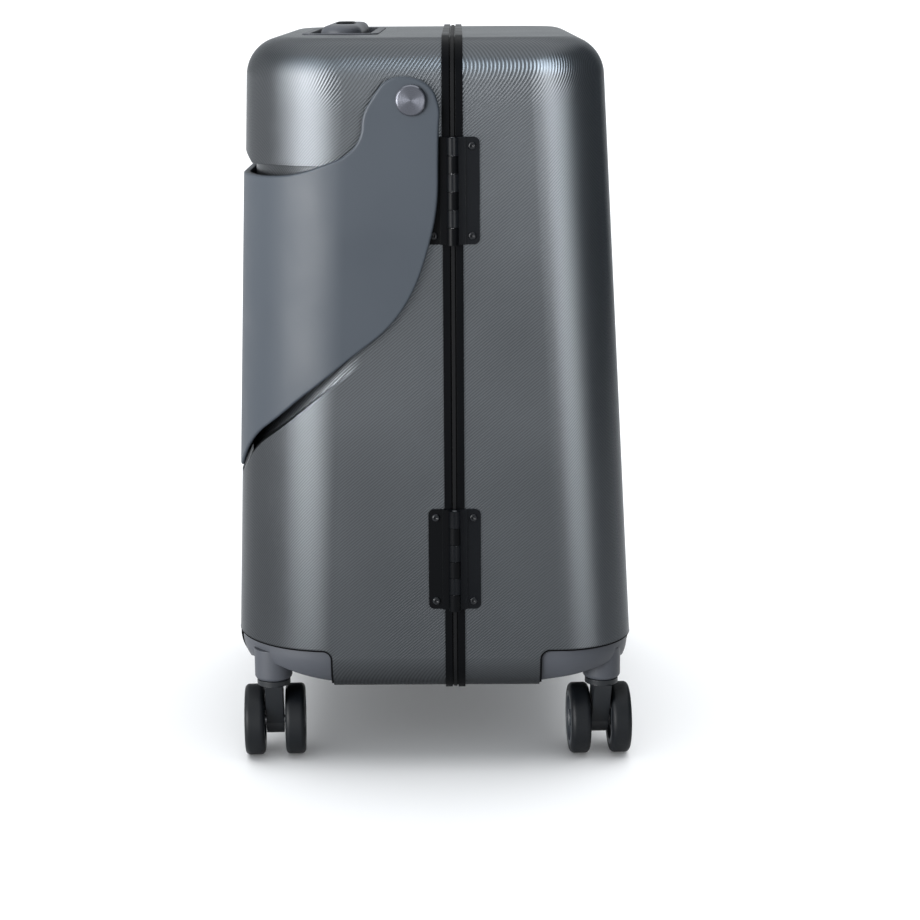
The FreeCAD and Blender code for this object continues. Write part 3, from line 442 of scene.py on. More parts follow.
# Soft pieces inside the case, shaped by code in place of their plain solids
EDGE_RADIUS = 24 * MM
REAR_CORNER = 46 * MM
REAR_LEAN = math.radians(3.2)
LINING_INSET = 2.5 * MM
LINING_EDGE = EDGE_RADIUS - LINING_INSET
LINING_LIFT = 0.3 * MM
WRINKLE_DEPTH = 1.0 * MM
HOUSING_PAD = 4 * MM
HOUSING_RAMP = 12 * MM
WELD = 0.02 * MM
SLAB_SEGMENTS = 2
CORD_SIDES = 8
lining_low, lining_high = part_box("rear_lining")
rear_turn = Vector((lining_high.x - LINING_EDGE, 0, lining_low.z + LINING_EDGE))


def smooth_step(value):
    held = min(max(value, 0.0), 1.0)
    return held * held * (3 - 2 * held)


def new_piece(name, body, verts, faces, finish, slot):
    mesh = bpy.data.meshes.new(name)
    mesh.from_pydata(verts, [], faces)
    return dress_piece(name, body, mesh, finish)


def dress_piece(name, body, mesh, finish):
    clean = bmesh.new()
    clean.from_mesh(mesh)
    bmesh.ops.remove_doubles(clean, verts=clean.verts, dist=WELD)
    bmesh.ops.dissolve_degenerate(clean, edges=clean.edges, dist=WELD)
    bmesh.ops.recalc_face_normals(clean, faces=clean.faces)
    clean.to_mesh(mesh)
    clean.free()
    mesh.shade_smooth()
    mesh.materials.append(finish)
    piece = bpy.data.objects.new(name, mesh)
    scene.collection.objects.link(piece)
    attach(piece, body)
    return piece


def joined_piece(name, body, joined, finish):
    mesh = bpy.data.meshes.new(name)
    joined.to_mesh(mesh)
    joined.free()
    return dress_piece(name, body, mesh, finish)


def grid_faces(rows, columns, round_rows=False, round_columns=False):
    row_span = rows if round_rows else rows - 1
    column_span = columns if round_columns else columns - 1
    return [(r * columns + c, r * columns + (c + 1) % columns,
             (r + 1) % rows * columns + (c + 1) % columns, (r + 1) % rows * columns + c)
            for r in range(row_span) for c in range(column_span)]


def sweep(path, section, closed=False):
    # A section of (across, out) points carried along (place, across, out) frames
    verts = [place + across * a + out * b for place, across, out in path for a, b in section]
    return verts, grid_faces(len(path), len(section), closed, True)


def swept_piece(name, body, path, section, finish, slot, closed=False):
    return new_piece(name, body, *sweep(path, section, closed), finish, slot)


def circle(steps):
    turns = [2 * math.pi * i / steps for i in range(steps)]
    return [(math.cos(turn), math.sin(turn)) for turn in turns]


def round_section(radius):
    return [(radius * a, radius * b) for a, b in circle(CORD_SIDES)]


def flat_section(width, thickness):
    half, ease = width / 2, thickness / 2
    rounded = half - ease / 3
    side = [(half - ease, -ease), (rounded, -ease / 2), (rounded, ease / 2), (half - ease, ease)]
    return side + [(-a, -b) for a, b in side]


def slab(target, outline, low, high, ease, place, across, along, out):
    # A moulded plate with eased edges, from an outline of (across, along) points
    made = bmesh.new()
    corners = [made.verts.new((a, b, low)) for a, b in outline]
    bottom = made.faces.new(corners)
    grown = bmesh.ops.extrude_face_region(made, geom=[bottom])["geom"]
    risen = [part for part in grown if isinstance(part, bmesh.types.BMVert)]
    bmesh.ops.translate(made, verts=risen, vec=(0, 0, high - low))
    bmesh.ops.bevel(made, geom=list(made.edges), offset=ease, segments=SLAB_SEGMENTS, affect="EDGES",
                    clamp_overlap=True)
    turn = Matrix((across, along, out)).transposed().to_4x4()
    made.transform(Matrix.Translation(place) @ turn)
    mesh = bpy.data.meshes.new("moulded_part")
    made.to_mesh(mesh)
    made.free()
    target.from_mesh(mesh)
    bpy.data.meshes.remove(mesh)


def rear_face(z, inset):
    # Where the leaning back of the rear half stands at one height
    held = max(z, rear_turn.z)
    foot = rear_turn.x + (LINING_EDGE - inset) / math.cos(REAR_LEAN)
    return foot - (held - rear_turn.z) * math.tan(REAR_LEAN)


def plan_outline(z, inset, side_steps=16, round_steps=10, face_steps=40):
    # Once round the rear half at one height, from the rim on the hinge side to the rim on the latch side
    half = lining_high.y - inset
    radius = REAR_CORNER - LINING_INSET - inset
    turn = rear_face(z, inset) - radius
    reach = turn - lining_low.x
    side = [(lining_low.x + reach * i / side_steps, half) for i in range(side_steps)]
    turns = [math.pi / 2 * i / round_steps for i in range(round_steps)]
    side += [(turn + radius * math.sin(a), half - radius * (1 - math.cos(a))) for a in turns]
    flat = half - radius
    face = [(turn + radius, flat * (2 * i / face_steps - 1)) for i in range(face_steps + 1)]
    return [Vector((x, -y, z)) for x, y in side] + [Vector((x, y, z)) for x, y in face] + [
        Vector((x, y, z)) for x, y in reversed(side)]


def lining_rows(cap_steps=24, round_steps=7, wall_steps=48):
    # Each row is its height, its inset and its share of the full outline, from the case's floor to its roof
    low, high, edge = lining_low.z, lining_high.z, LINING_EDGE
    turns = [math.pi / 2 * i / round_steps for i in range(1, round_steps)]
    floor = [(low + LINING_LIFT, edge, i / cap_steps) for i in range(cap_steps + 1)]
    lower = [(low + edge - (edge - LINING_LIFT) * math.cos(a), LINING_LIFT + edge * (1 - math.sin(a)), 1)
             for a in turns]
    walls = [(low + edge + (high - low - 2 * edge) * i / wall_steps, LINING_LIFT, 1)
             for i in range(wall_steps + 1)]
    upper = [(low + high - z, inset, share) for z, inset, share in reversed(floor + lower)]
    return floor + lower + walls + upper


# The cloth is held near the rim and the straps, and its slack runs in waves
RIM_HOLD = 20 * MM
STRAP_HOLD = 13 * MM
STRAP_FADE = 18 * MM
WAVE_ACROSS = 13 * MM
WAVE_UP = 29 * MM
DRIFT_ACROSS = 33 * MM
DRIFT_UP = 41 * MM
DRIFT_TURN = 1.6


def wrinkle(p):
    # Slack in the cloth, none where the straps or the rim hold it down
    rim = smooth_step((p.x - lining_low.x) / RIM_HOLD)
    free = min(smooth_step((abs(p.y - y) - STRAP_HOLD) / STRAP_FADE) for y in STRAP_YS)
    drift = math.sin(p.z / DRIFT_UP) + math.sin((p.x + p.y) / DRIFT_ACROSS)
    wave = math.sin(p.y / WAVE_ACROSS + DRIFT_TURN * drift) * math.sin((p.z + p.x) / WAVE_UP + drift)
    return WRINKLE_DEPTH * rim * free * (0.5 + 0.5 * wave)


def over_housing(p, corner):
    # The cloth is boxed up over each caster housing
    inner = corner.x - HOUSING_PAD - HOUSING_RAMP
    side = corner.y - HOUSING_PAD - HOUSING_RAMP
    share = smooth_step((p.x - inner) / HOUSING_RAMP) * smooth_step((abs(p.y) - side) / HOUSING_RAMP)
    lifted = lining_low.z + (corner.z + HOUSING_PAD - lining_low.z) * share
    return Vector((p.x, p.y, max(p.z, lifted)))


STRAP_SPREAD = 130 * MM
STRAP_WIDTH = 25 * MM
STRAP_THICKNESS = 1.2 * MM
STRAP_INSET = 2.0 * MM
STRAP_START = 3 * MM
STRAP_YS = (-STRAP_SPREAD / 2, STRAP_SPREAD / 2)
EYELET_HOLE = 6.4 * MM
EYELET_WIDTH = 3.6 * MM
EYELET_STAND = 1.0 * MM
# Across the ring as shares of its width, and out of the cloth in millimetres
EYELET_SECTION = [(-0.5, -0.8), (0.5, -0.8), (0.5, 0.2), (0.28, 0.75), (-0.28, 0.75), (-0.5, 0.2)]
PIPING_STAND = 1.4 * MM
PIPING_INSET = 1.2 * MM
PIPING_RADIUS = 1.1 * MM


def carry_legs():
    # Where the carry handle's two legs come through the cloth
    low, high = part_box("carry_heads")
    radius = (high.x - low.x) / 2
    return [Vector(((low.x + high.x) / 2, lining_high.y, z)) for z in (low.z + radius, high.z - radius)]


def make_lining(finish, trim):
    left_low, left_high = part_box("rear_left_housing")
    corner = Vector((left_low.x, min(abs(left_low.y), abs(left_high.y)), left_high.z))
    legs = carry_legs()
    rows = lining_rows()
    verts = []
    middle_z = (lining_low.z + lining_high.z) / 2
    for z, inset, share in rows:
        outline = plan_outline(z, inset)
        deeper = plan_outline(z, inset + MM)
        for point, inner in zip(outline, deeper):
            inward = (inner - point) / MM if share == 1 else UPWARD * (1 if z < middle_z else -1)
            flat = Vector((lining_low.x + (point.x - lining_low.x) * share, point.y * share, z))
            verts.append(over_housing(flat + inward * wrinkle(flat), corner))
    columns = len(verts) // len(rows)
    hole = EYELET_HOLE + EYELET_WIDTH / 2
    cut = set()
    for index, place in enumerate(verts):
        for leg in legs:
            apart = Vector((place.x - leg.x, 0, place.z - leg.z))
            if place.y > leg.y / 2 and apart.length < hole:
                verts[index] = place + apart.normalized() * (hole - apart.length)
                cut.add(index)
    faces = [face for face in grid_faces(len(rows), columns) if not cut.issuperset(face)]
    lining = new_piece("rear_lining_cloth", "rear_half", verts, faces, finish, "lining_fabric")
    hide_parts("rear_lining")
    eyelets = make_eyelets(legs, trim)
    piping = make_piping("rear_lining_piping", "rear_half", lining_low.x + PIPING_STAND, PIPING_RADIUS, trim)


def make_eyelets(legs, finish, steps=36):
    verts, faces = [], []
    for leg in legs:
        ring = []
        for x, z in circle(steps):
            outward = Vector((x, 0, z))
            ring.append((leg + outward * (EYELET_HOLE + EYELET_WIDTH / 2) - SIDEWAYS * EYELET_STAND,
                         outward * EYELET_WIDTH, SIDEWAYS * -MM))
        ring_verts, ring_faces = sweep(ring, EYELET_SECTION, True)
        faces += [tuple(i + len(verts) for i in face) for face in ring_faces]
        verts += ring_verts
    return new_piece("carry_eyelets", "rear_half", verts, faces, finish, "black_plastic")


def ring_outline(inset, radius, steps=10):
    # Once round the opening, as (y, z) places with their outward headings
    half = lining_high.y - inset
    low, high = lining_low.z + inset, lining_high.z - inset
    corners = [(half - radius, high - radius), (radius - half, high - radius),
               (radius - half, low + radius), (half - radius, low + radius)]
    loop = []
    for quarter, (y, z) in enumerate(corners):
        for i in range(steps + 1):
            turn = math.pi / 2 * (quarter + i / steps)
            loop.append((Vector((0, y + radius * math.cos(turn), z + radius * math.sin(turn))),
                         Vector((0, math.cos(turn), math.sin(turn)))))
    return loop


def make_piping(name, body, x, radius, finish):
    path = [(REARWARD * x + place, heading, REARWARD)
            for place, heading in ring_outline(PIPING_INSET, LINING_EDGE - PIPING_INSET)]
    return swept_piece(name, body, path, round_section(radius), finish, "strap_fabric", True)


def strap_path(y, inset, floor_steps=13, turn_steps=8, back_steps=60, roof_steps=12):
    # Along the floor of the rear half, up its back and forward under its roof
    radius = LINING_EDGE - inset
    top_z = lining_high.z - LINING_EDGE
    upper_turn = Vector((rear_face(top_z, LINING_EDGE), 0, top_z))
    start = lining_low.x + STRAP_START
    path = []

    def add(x, z, turn):
        out = Vector((-math.cos(turn), 0, -math.sin(turn)))
        path.append((Vector((x, y, z)), SIDEWAYS, out))

    for i in range(floor_steps):
        add(start + (rear_turn.x - start) * i / floor_steps, lining_low.z + inset, -math.pi / 2)
    for i in range(turn_steps + 1):
        turn = -math.pi / 2 + (math.pi / 2 + REAR_LEAN) * i / turn_steps
        add(rear_turn.x + radius * math.cos(turn), rear_turn.z + radius * math.sin(turn), turn)
    first = path[-1][0].copy()
    last = upper_turn + radius * Vector((math.cos(REAR_LEAN), 0, math.sin(REAR_LEAN)))
    for i in range(1, back_steps):
        add(first.x + (last.x - first.x) * i / back_steps, first.z + (last.z - first.z) * i / back_steps,
            REAR_LEAN)
    for i in range(turn_steps + 1):
        turn = REAR_LEAN + (math.pi / 2 - REAR_LEAN) * i / turn_steps
        add(upper_turn.x + radius * math.cos(turn), upper_turn.z + radius * math.sin(turn), turn)
    for i in range(1, roof_steps + 1):
        add(upper_turn.x + (start - upper_turn.x) * i / roof_steps, lining_high.z - inset, math.pi / 2)
    return path


def make_straps(webbing):
    section = flat_section(STRAP_WIDTH, STRAP_THICKNESS)
    for number, y in enumerate(STRAP_YS, 1):
        path = strap_path(y, STRAP_INSET)
        strap = swept_piece(f"packing_strap_{number}", "rear_half", path, section, webbing, "strap_fabric")
        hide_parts("packing_straps")


# The buckle's outlines and the places of its ribs in millimetres, across the strap and along it
BUCKLE_SOCKET = [(-11.3, -17), (11.3, -17), (12.5, -15.8), (12.5, -7), (9, -5.4), (9, 0.6), (11, 2.2),
                 (11, 3.2), (-11, 3.2), (-11, 2.2), (-9, 0.6), (-9, -5.4), (-12.5, -7), (-12.5, -15.8)]
BUCKLE_PLUG = [(11.3, 17), (-11.3, 17), (-12.5, 15.8), (-12.5, 7.2), (-11, 5), (-11, 3.6), (11, 3.6), (11, 5),
               (12.5, 7.2), (12.5, 15.8)]
BUCKLE_PRONG = [(9.5, -4.9), (12.2, -6.2), (12.9, -3), (12.3, 0.6), (9.5, 0.1)]
BUCKLE_RIB = [(-7.5, -0.6), (7.5, -0.6), (7.5, 0.6), (-7.5, 0.6)]
BUCKLE_RIBS = (-13.6, -11.0, -8.4, 9.6, 12.2)
BUCKLE_UNDER = 3.0 * MM
BUCKLE_HEIGHT = 5.0 * MM
# From which share of its height to which each part reaches, and its eased edge
SOCKET_SHARES = (0.0, 0.86)
PLUG_SHARES = (0.0, 0.76)
PRONG_SHARES = (0.16, 0.66)
RIB_SHARES = (0.6, 1.0)
BUCKLE_EASE = 0.7 * MM
PRONG_EASE = 0.4 * MM
RIB_EASE = 0.25 * MM


def make_buckles(finish):
    box_low, box_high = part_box("strap_buckles")
    z = (box_low.z + box_high.z) / 2
    along = Vector((-math.sin(REAR_LEAN), 0, math.cos(REAR_LEAN)))
    out = Vector((-math.cos(REAR_LEAN), 0, -math.sin(REAR_LEAN)))
    joined = bmesh.new()
    for y in STRAP_YS:
        place = Vector((rear_face(z, BUCKLE_UNDER), y, z))

        def add(outline, shares, ease, shift=0.0, mirror=1):
            points = [(mirror * a * MM, (b + shift) * MM) for a, b in outline]
            low, high = [share * BUCKLE_HEIGHT for share in shares]
            slab(joined, points, low, high, ease, place, SIDEWAYS, along, out)

        add(BUCKLE_SOCKET, SOCKET_SHARES, BUCKLE_EASE)
        add(BUCKLE_PLUG, PLUG_SHARES, BUCKLE_EASE)
        for mirror in (1, -1):
            add(BUCKLE_PRONG, PRONG_SHARES, PRONG_EASE, mirror=mirror)
        for shift in BUCKLE_RIBS:
            add(BUCKLE_RIB, RIB_SHARES, RIB_EASE, shift)
    piece = joined_piece("side_release_buckles", "rear_half", joined, finish)
    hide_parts("strap_buckles")


DIVIDER_SAG = 2.2 * MM
DIVIDER_WAVE = 0.5 * MM
DIVIDER_WAVE_ACROSS = 17 * MM
DIVIDER_WAVE_UP = 37 * MM
DIVIDER_DRIFT_UP = 60 * MM
DIVIDER_DRIFT_TURN = 2
DIVIDER_SINK = 0.4 * MM
DIVIDER_INSET = 0.4 * MM
DIVIDER_STEP = 7 * MM
DIVIDER_PIPING = 1.0 * MM
# Its rings of points, close together at the sewn edge and even within
DIVIDER_EDGE_SHARES = [1.0, 0.985, 0.96]
DIVIDER_INNER_SHARE = 0.92
ZIP_INSET = 18 * MM
ZIP_CORNER = 30 * MM
ZIP_FOOT = 26 * MM
ZIP_TAPE = 22 * MM
ZIP_THICKNESS = 0.8 * MM
TOOTH_PITCH = 2.4 * MM
TOOTH_SHIFT = 0.7 * MM
TOOTH_TAPER_SHARE = 0.7
# Heights and outlines of the tape, the teeth and the slider in millimetres, across the zip and along it
ZIP_LIFT = 0.9
TOOTH_FOOT = 0.2
TOOTH_TOP = 1.5
TOOTH_BOX = [(-1.1, -0.75), (1.1, -0.75), (1.1, 0.75), (-1.1, 0.75)]
BOX_FACES = [(3, 2, 1, 0), (4, 5, 6, 7), (0, 1, 5, 4), (1, 2, 6, 5), (2, 3, 7, 6), (3, 0, 4, 7)]
SLIDER_BODY = [(-3.6, -4.5), (-2.2, -6), (2.2, -6), (3.6, -4.5), (4.6, 4), (3, 5.5), (-3, 5.5), (-4.6, 4)]
SLIDER_BRIDGE = [(-1.1, -3.5), (1.1, -3.5), (1.1, 3.5), (-1.1, 3.5)]
SLIDER_TAB = [(-2.2, 2), (2.2, 2), (3.4, 18), (2.4, 24), (-2.4, 24), (-3.4, 18)]
SLIDER_PARTS = [(SLIDER_BODY, 0.6, 2.6), (SLIDER_BRIDGE, 2.2, 3.8), (SLIDER_TAB, 3.0, 4.4)]
SLIDER_EASE = 0.35 * MM
SLIDER_TOOTH = 18
POCKET_HALF = 112 * MM
POCKET_LOW = 42 * MM
POCKET_HIGH = 182 * MM
POCKET_BULGE = 3.4 * MM
POCKET_GATHER = 1.3 * MM
POCKET_FOLDS = 17
POCKET_STAND = 0.5 * MM
POCKET_EDGE_POWER = 0.5
# The part of an arch that the bulge follows, and how deep the folds are where the pocket is flat and full
POCKET_FOOT_SHARE = 0.08
POCKET_SPAN_SHARE = 0.7
FOLD_FLAT_SHARE = 0.35
FOLD_FULL_SHARE = 0.65
ELASTIC_WIDTH = 9 * MM
ELASTIC_THICKNESS = 1.4 * MM
BINDING_WIDTH = 5 * MM
BINDING_THICKNESS = 1.2 * MM
divider_low, divider_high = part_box("front_divider")
divider_x = divider_high.x - DIVIDER_SINK


def divider_sag(y, z):
    # The panel hangs in a little between its sewn edges
    across = 1 - (y / divider_high.y) ** 2
    up = 1 - ((z - divider_low.z) / (divider_high.z - divider_low.z) * 2 - 1) ** 2
    drift = DIVIDER_DRIFT_TURN * math.sin(z / DIVIDER_DRIFT_UP)
    wave = math.sin(y / DIVIDER_WAVE_ACROSS + drift) * math.sin(z / DIVIDER_WAVE_UP)
    return across * up * (DIVIDER_SAG + DIVIDER_WAVE * wave)


def make_divider(finish, trim, inner_rings=24):
    outline = [place for place, heading in ring_outline(DIVIDER_INSET, LINING_EDGE)]
    dense = []
    for a, b in zip(outline, outline[1:] + outline[:1]):
        steps = max(1, round((b - a).length / DIVIDER_STEP))
        dense += [a.lerp(b, i / steps) for i in range(steps)]
    middle = Vector((0, 0, (divider_low.z + divider_high.z) / 2))
    inner = [DIVIDER_INNER_SHARE - DIVIDER_INNER_SHARE * i / inner_rings for i in range(inner_rings)]
    rings = DIVIDER_EDGE_SHARES + inner + [0.0]
    verts = []
    for ring in rings:
        for place in dense:
            p = middle.lerp(place, ring)
            verts.append(Vector((divider_x - divider_sag(p.y, p.z), p.y, p.z)))
    divider = new_piece("front_divider_cloth", "front_half", verts,
                        grid_faces(len(rings), len(dense), False, True), finish, "lining_fabric")
    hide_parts("front_divider")
    piping = make_piping("front_divider_piping", "front_half", divider_x, DIVIDER_PIPING, trim)


def zip_path(turn_steps=12):
    # Up one side of the divider, over its top and down the other side
    half = divider_high.y - ZIP_INSET
    top = divider_high.z - ZIP_INSET
    foot = divider_low.z + ZIP_FOOT
    points = [Vector((0, half, foot)), Vector((0, half, top - ZIP_CORNER))]
    for quarter, y in enumerate((half - ZIP_CORNER, ZIP_CORNER - half)):
        for i in range(turn_steps + 1):
            turn = math.pi / 2 * (quarter + i / turn_steps)
            points.append(Vector((0, y + ZIP_CORNER * math.cos(turn),
                                  top - ZIP_CORNER + ZIP_CORNER * math.sin(turn))))
    points += [Vector((0, -half, foot))]
    spaced, left = [], 0.0
    for a, b in zip(points, points[1:]):
        long = (b - a).length
        while left < long:
            spaced.append((a.lerp(b, left / long), (b - a) / long))
            left += TOOTH_PITCH
        left -= long
    path = []
    for place, heading in spaced:
        across = Vector((0, -heading.z, heading.y))
        height = divider_x - divider_sag(place.y, place.z)
        path.append((Vector((height, place.y, place.z)), across, REARWARD))
    return path


def make_zip(tape_finish, teeth_finish, metal):
    path = zip_path()
    lifted = [(place + out * ZIP_LIFT * MM, across, out) for place, across, out in path]
    section = flat_section(ZIP_TAPE, ZIP_THICKNESS)
    tape = swept_piece("divider_zip_tape", "front_half", lifted, section, tape_finish, "strap_fabric")
    verts, faces = [], []
    for number, (place, across, out) in enumerate(lifted):
        along = across.cross(out)
        middle = place + across * (TOOTH_SHIFT if number % 2 else -TOOTH_SHIFT)
        corner = len(verts)
        for rise, share in ((TOOTH_FOOT, 1), (TOOTH_TOP, TOOTH_TAPER_SHARE)):
            verts += [middle + across * a * share * MM + along * b * share * MM + out * rise * MM
                      for a, b in TOOTH_BOX]
        faces += [tuple(corner + i for i in face) for face in BOX_FACES]
    new_piece("divider_zip_teeth", "front_half", verts, faces, teeth_finish, "black_plastic")
    place, across, out = lifted[SLIDER_TOOTH]
    along = across.cross(out)
    joined = bmesh.new()
    for outline, low, high in SLIDER_PARTS:
        points = [(a * MM, b * MM) for a, b in outline]
        slab(joined, points, low * MM, high * MM, SLIDER_EASE, place, across, along, out)
    joined_piece("divider_zip_slider", "front_half", joined, metal)


def pocket_point(share, rise):
    # A place on the pocket, by its share of the width and of the height
    y = POCKET_HALF * (2 * share - 1)
    z = divider_low.z + POCKET_LOW + (POCKET_HIGH - POCKET_LOW) * rise
    arch = math.sin(math.pi * share)
    hold = arch ** POCKET_EDGE_POWER * math.sin(math.pi * (POCKET_FOOT_SHARE + POCKET_SPAN_SHARE * rise))
    folds = POCKET_GATHER * rise ** 2 * arch * math.sin(2 * math.pi * POCKET_FOLDS * share)
    stand = POCKET_STAND + POCKET_BULGE * hold + folds * (FOLD_FLAT_SHARE + FOLD_FULL_SHARE * hold)
    return Vector((divider_x - divider_sag(y, z) + max(stand, POCKET_STAND), y, z))


def make_pocket(finish, trim, columns=171, rows=25, side_steps=30, foot_steps=60):
    across = [c / (columns - 1) for c in range(columns)]
    verts = [pocket_point(share, r / (rows - 1)) for r in range(rows) for share in across]
    faces = grid_faces(rows, columns)
    pocket = new_piece("divider_pocket", "front_half", verts, faces, finish, "lining_fabric")
    path = [(pocket_point(share, 1.0), UPWARD, REARWARD) for share in across]
    section = flat_section(ELASTIC_WIDTH, ELASTIC_THICKNESS)
    elastic = swept_piece("pocket_elastic", "front_half", path, section, trim, "strap_fabric")
    edge = [(0.0, 1 - i / side_steps) for i in range(side_steps)]
    edge += [(i / foot_steps, 0.0) for i in range(foot_steps + 1)]
    edge += [(1.0, i / side_steps) for i in range(1, side_steps + 1)]
    path = [(pocket_point(share, rise), UPWARD if 0 < share < 1 else SIDEWAYS, REARWARD)
            for share, rise in edge]
    section = flat_section(BINDING_WIDTH, BINDING_THICKNESS)
    binding = swept_piece("pocket_binding", "front_half", path, section, trim, "strap_fabric")


# From the middle of the driver recess to the rim, out and up
SCREW_PROFILE_SHARES = [(0.0, 0.45), (0.3, 0.45), (0.38, 0.9), (0.55, 1.0), (0.8, 0.8), (0.97, 0.35),
                        (1.0, 0.0)]
SCREW_HEAD = 0.8 * MM
SCREW_RISE = 0.5 * MM
SOLID_WELD = 0.001 * MM


def islands(node):
    # The separate solids of a node, as lists of vertex places
    made = bmesh.new()
    made.from_mesh(nodes[node].data)
    bmesh.ops.remove_doubles(made, verts=made.verts, dist=SOLID_WELD)
    left = set(made.verts)
    found = []
    while left:
        waiting = [left.pop()]
        group = []
        while waiting:
            vert = waiting.pop()
            group.append(vert.co.copy())
            for edge in vert.link_edges:
                other = edge.other_vert(vert)
                if other in left:
                    left.remove(other)
                    waiting.append(other)
        found.append(group)
    made.free()
    return found


def make_screw_heads(node, body, finish, steps=28):
    # Domed heads with a driver recess, in place of each plain hinge rivet's head
    verts, faces = [], []
    for group in islands(node):
        low = Vector([min(p[i] for p in group) for i in range(3)])
        high = Vector([max(p[i] for p in group) for i in range(3)])
        centre = (low + high) / 2
        radius = (high.z - low.z) / 2
        base = low.y + SCREW_HEAD
        top = low.y - SCREW_RISE
        first = len(verts)
        for out_share, rise_share in SCREW_PROFILE_SHARES:
            for x, z in circle(steps):
                verts.append(Vector((centre.x + radius * out_share * x, base + (top - base) * rise_share,
                                     centre.z + radius * out_share * z)))
        faces += [tuple(first + i for i in face)
                  for face in grid_faces(len(SCREW_PROFILE_SHARES), steps, False, True)]
    piece = new_piece(f"{node}_heads", body, verts, faces, finish, "hinge_steel")
    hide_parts(node)


# Black beads in the joints between the caster housings and the shells, standing in for the shade in those
# gaps
GAP_BEAD_RADIUS = 0.8 * MM
GAP_BEAD_INSET = 0.7 * MM
GAP_BEAD_FOOT = 5 * MM
HOUSING_ROUND = 6 * MM
FRONT_CORNER = 62 * MM
FRONT_LEAN = math.radians(2.2)


def gap_shade_bead_path(end, sign, corner, lean, side_name, edge_steps=8, corner_steps=18):
    # Up the housing's edge on the case's side, over its top round the corner, and down its edge on the end
    shell_low, shell_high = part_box(f"{end}_shell")
    low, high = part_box(f"{end}_{side_name}_housing")
    side = 1 if low.y > 0 else -1
    reach = shell_high.x if sign > 0 else shell_low.x
    inner_x = low.x if sign > 0 else high.x
    inner_y = min(abs(low.y), abs(high.y))
    centre_y = shell_high.y - corner
    turn_z = shell_low.z + EDGE_RADIUS

    def skin(z):
        # The inset corner's centre and radius at one height, drawn in round the bottom edge
        drop = max(0.0, turn_z - z)
        inset = GAP_BEAD_INSET + EDGE_RADIUS - math.sqrt(EDGE_RADIUS ** 2 - drop ** 2)
        face = reach + sign * (EDGE_RADIUS / math.cos(lean) - EDGE_RADIUS - (z - turn_z) * math.tan(lean))
        return face - sign * corner, corner - inset

    def on_side(x, z):
        centre_x, radius = skin(z)
        past = max(0.0, (x - centre_x) * sign)
        return Vector((x, centre_y + math.sqrt(radius ** 2 - past ** 2), z))

    def on_end(y, z):
        centre_x, radius = skin(z)
        past = max(0.0, y - centre_y)
        return Vector((centre_x + sign * math.sqrt(radius ** 2 - past ** 2), y, z))

    height = high.z - HOUSING_ROUND - shell_low.z - GAP_BEAD_FOOT
    rises = [shell_low.z + GAP_BEAD_FOOT + height * i / edge_steps for i in range(edge_steps)]
    turns = [math.pi / 2 * i / edge_steps for i in range(edge_steps + 1)]
    steps = [(HOUSING_ROUND * (1 - math.cos(a)), high.z - HOUSING_ROUND * (1 - math.sin(a))) for a in turns]
    centre_x, radius = skin(high.z)
    run = [math.pi / (2 * corner_steps) * i for i in range(1, corner_steps)]
    corner_run = [Vector((centre_x + sign * radius * math.sin(a), centre_y + radius * math.cos(a), high.z))
                  for a in run]
    points = [on_side(inner_x, z) for z in rises] + [on_side(inner_x + sign * d, z) for d, z in steps]
    points += [p for p in corner_run
               if (p.x - inner_x) * sign > HOUSING_ROUND and p.y > inner_y + HOUSING_ROUND]
    points += [on_end(inner_y + d, z) for d, z in reversed(steps)]
    points += [on_end(inner_y, z) for z in reversed(rises)]
    path = []
    for index, place in enumerate(points):
        along = (points[min(index + 1, len(points) - 1)] - points[max(index - 1, 0)]).normalized()
        past_x = max(0.0, (place.x - centre_x) * sign)
        outward = Vector((past_x * sign, max(0.0, place.y - centre_y), 0)).normalized()
        across = outward.cross(along).normalized()
        path.append([Vector((v.x, v.y * side, v.z)) for v in (place, across, outward)])
    return path


def make_gap_shade_beads(finish):
    section = round_section(GAP_BEAD_RADIUS)
    ends = {"front": (-1, FRONT_CORNER, FRONT_LEAN), "rear": (1, REAR_CORNER, REAR_LEAN)}
    for end, (sign, corner, lean) in ends.items():
        for side_name in ("left", "right"):
            path = gap_shade_bead_path(end, sign, corner, lean, side_name)
            name = f"{end}_{side_name}_housing_seal"
            # Each bead is a dark piece put where the gap holds only shade
            swept_piece(name, f"{end}_half", path, section, finish, "seal_rubber")


def make_soft_pieces():
    lining = cloth("lining_weave", LINING_COLOUR, pitch=1.0 * MM)
    webbing = cloth("strap_webbing", WEBBING_COLOUR, pitch=1.7 * MM)
    pocket = cloth("pocket_weave", POCKET_COLOUR, pitch=1.4 * MM)
    moulded = plastic("buckle_plastic")
    metal = drawn_metal("zip_metal", STEEL, roughness=0.3, stretch=(1, 1, 0.1))
    make_lining(lining, webbing)
    make_straps(webbing)
    make_buckles(moulded)
    make_divider(lining, webbing)
    make_zip(webbing, moulded, metal)
    make_pocket(pocket, webbing)


make_soft_pieces()
screw_finish = plastic("screw_black")
make_screw_heads("front_hinge_rivets", "front_half", screw_finish)
make_screw_heads("rear_hinge_rivets", "rear_half", screw_finish)
# Black beads standing in for the shade in the gaps round the caster housings
make_gap_shade_beads(plastic("housing_gap_shade_bead_black"))


# Pale floor and soft studio light
FLOOR_COLOUR = (0.88, 0.88, 0.885)
FLOOR_HALF = 60.0
FLOOR_GLOW = 0.07
FLOOR_ROUGHNESS = 0.75
FLOOR_CLOUD = 0.8
FLOOR_DARK_SHARE = 0.99
CASE_AIM = 0.42
SOFTBOX_SPREAD = math.radians(75)
FLAG_COLOUR = (0.17, 0.19, 0.21)
FLAG_CORNERS = [(0.75, -0.7, 0), (0.95, 1.6, 0), (0.95, 1.6, 1.6), (0.75, -0.7, 1.6)]
WORLD_COLOUR = (0.93, 0.97, 1, 1)
WORLD_STRENGTH = 0.82
WHITE = (1, 1, 1, 1)
